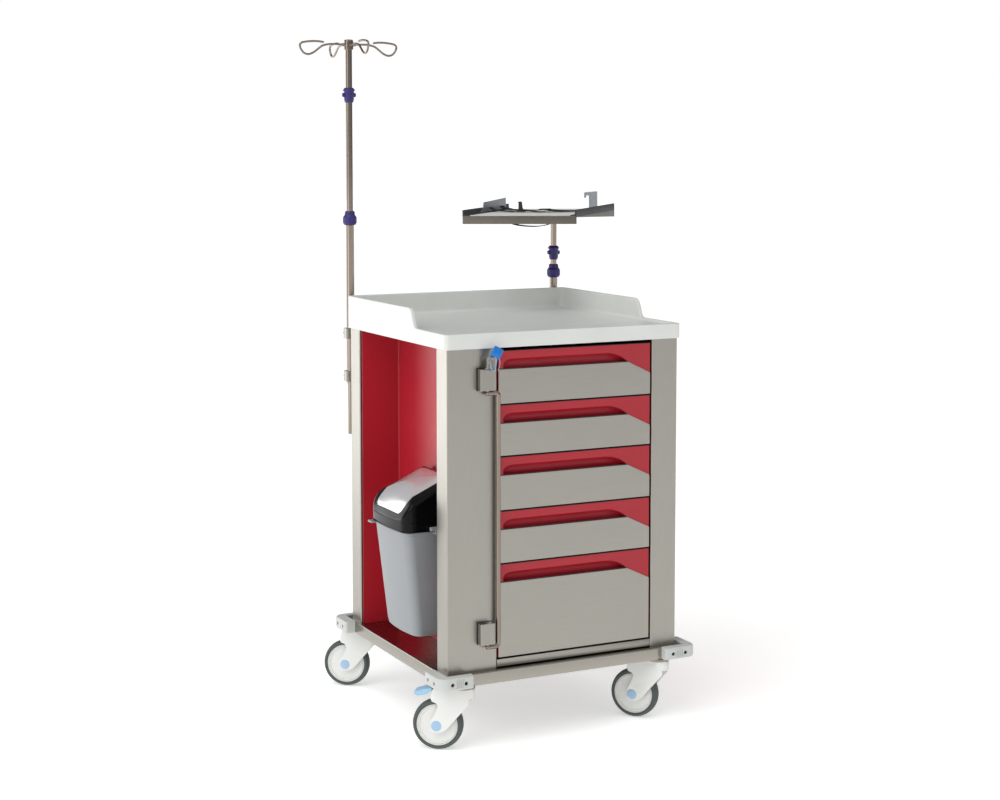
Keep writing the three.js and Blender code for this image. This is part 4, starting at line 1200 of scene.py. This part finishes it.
def make_stage():
    size = 40
    floor = raw("floor", [box(-size, size, -size, size, -0.05, 0)], Matrix.Identity(4))
    paint = Paint("floor", None)
    grain = paint.remap(paint.noise(3.0, 4.0), 0.3, 0.7, 0, 1)
    paint.link(paint.mix(grain, (0.90, 0.90, 0.895, 1), (0.92, 0.92, 0.915, 1)), "Base Color")
    paint.set(Roughness=0.9, Emission_Color=(1, 1, 1, 1), Emission_Strength=0.45)
    floor.data.materials.append(paint.material)


def add_light(name, kind, power, direction, place=(0, 0, 0), **settings):
    """A light that shines along a direction."""
    data = bpy.data.lights.new(name, kind)
    data.energy = power
    for setting, value in settings.items():
        setattr(data, setting, value)
    light = bpy.data.objects.new(name, data)
    bpy.context.scene.collection.objects.link(light)
    light.location = place
    light.rotation_euler = Vector(direction).to_track_quat("-Z", "Y").to_euler()


LIGHT_SIDE = (-0.55, -0.75, 0.35)  # the side from which the soft surround is brightest


def make_light():
    """A soft surround, brighter at the front left, that the camera itself sees as plain white."""
    world = bpy.data.worlds.new("studio")
    bpy.context.scene.world = world
    world.use_nodes = True
    tree = world.node_tree
    direction = add_node(tree, "TexCoord", {}).outputs["Generated"]
    side = Vector(LIGHT_SIDE).normalized()
    toward = add_node(tree, "VectorMath", {0: direction, 1: side}, operation="DOT_PRODUCT")
    strength = add_node(tree, "MapRange", {0: toward.outputs["Value"], 1: -1, 2: 1, 3: 0.15, 4: 0.43})
    soft = tree.nodes["Background"]
    soft.inputs["Color"].default_value = (1, 1, 1, 1)
    tree.links.new(strength.outputs[0], soft.inputs["Strength"])
    white = add_node(tree, "Background", {"Color": (1, 1, 1, 1)})
    camera_ray = add_node(tree, "LightPath", {}).outputs["Is Camera Ray"]
    mix = add_node(tree, "MixShader", {0: camera_ray, 1: soft.outputs[0], 2: white.outputs[0]})
    tree.links.new(mix.outputs[0], tree.nodes["World Output"].inputs[0])
    add_light("key", "SUN", 1.2, (0.6, 0.3, -0.85), angle=math.radians(50))
    add_light("fill", "SUN", 0.42, (-0.5, 0.5, -0.8), angle=math.radians(70))
    panel = {"shape": "RECTANGLE", "size_y": 2.4}
    add_light("left_panel", "AREA", 14, (3.2, 0.6, -0.6), (-3.2, -0.6, 1.4), size=1.2, **panel)
    add_light("back_left_panel", "AREA", 25, (2.2, -2.9, -0.4), (-2.2, 2.9, 1.1), size=1.6, **panel)
    bpy.context.scene.view_settings.view_transform = "Standard"


# ---------------------------------------------------------------- the whole trolley

make_camera()
make_stage()
make_light()
make_base()
for corner_name, (side_x, side_y) in CORNERS.items():
    make_bumper(corner_name, side_x, side_y)
    make_castor(corner_name)
make_columns()
make_bay()
for steel_node in ("drawer_rack_left", "drawer_rack_right", "back_panel", "plinth_rail", "bin_bracket"):
    keep(steel_node, SATIN, 0.4)
keep("right_side_panel", RED, 0.4)
make_back_rivets()
for number in range(1, 6):
    make_drawer(number)
make_worktop()
make_lock()
make_mast("iv", "iv_mast", "iv_clamp", 1)
make_hooks()
make_mast("monitor", "monitor_mast", "monitor_clamp", -1)
make_tray()
make_bin()
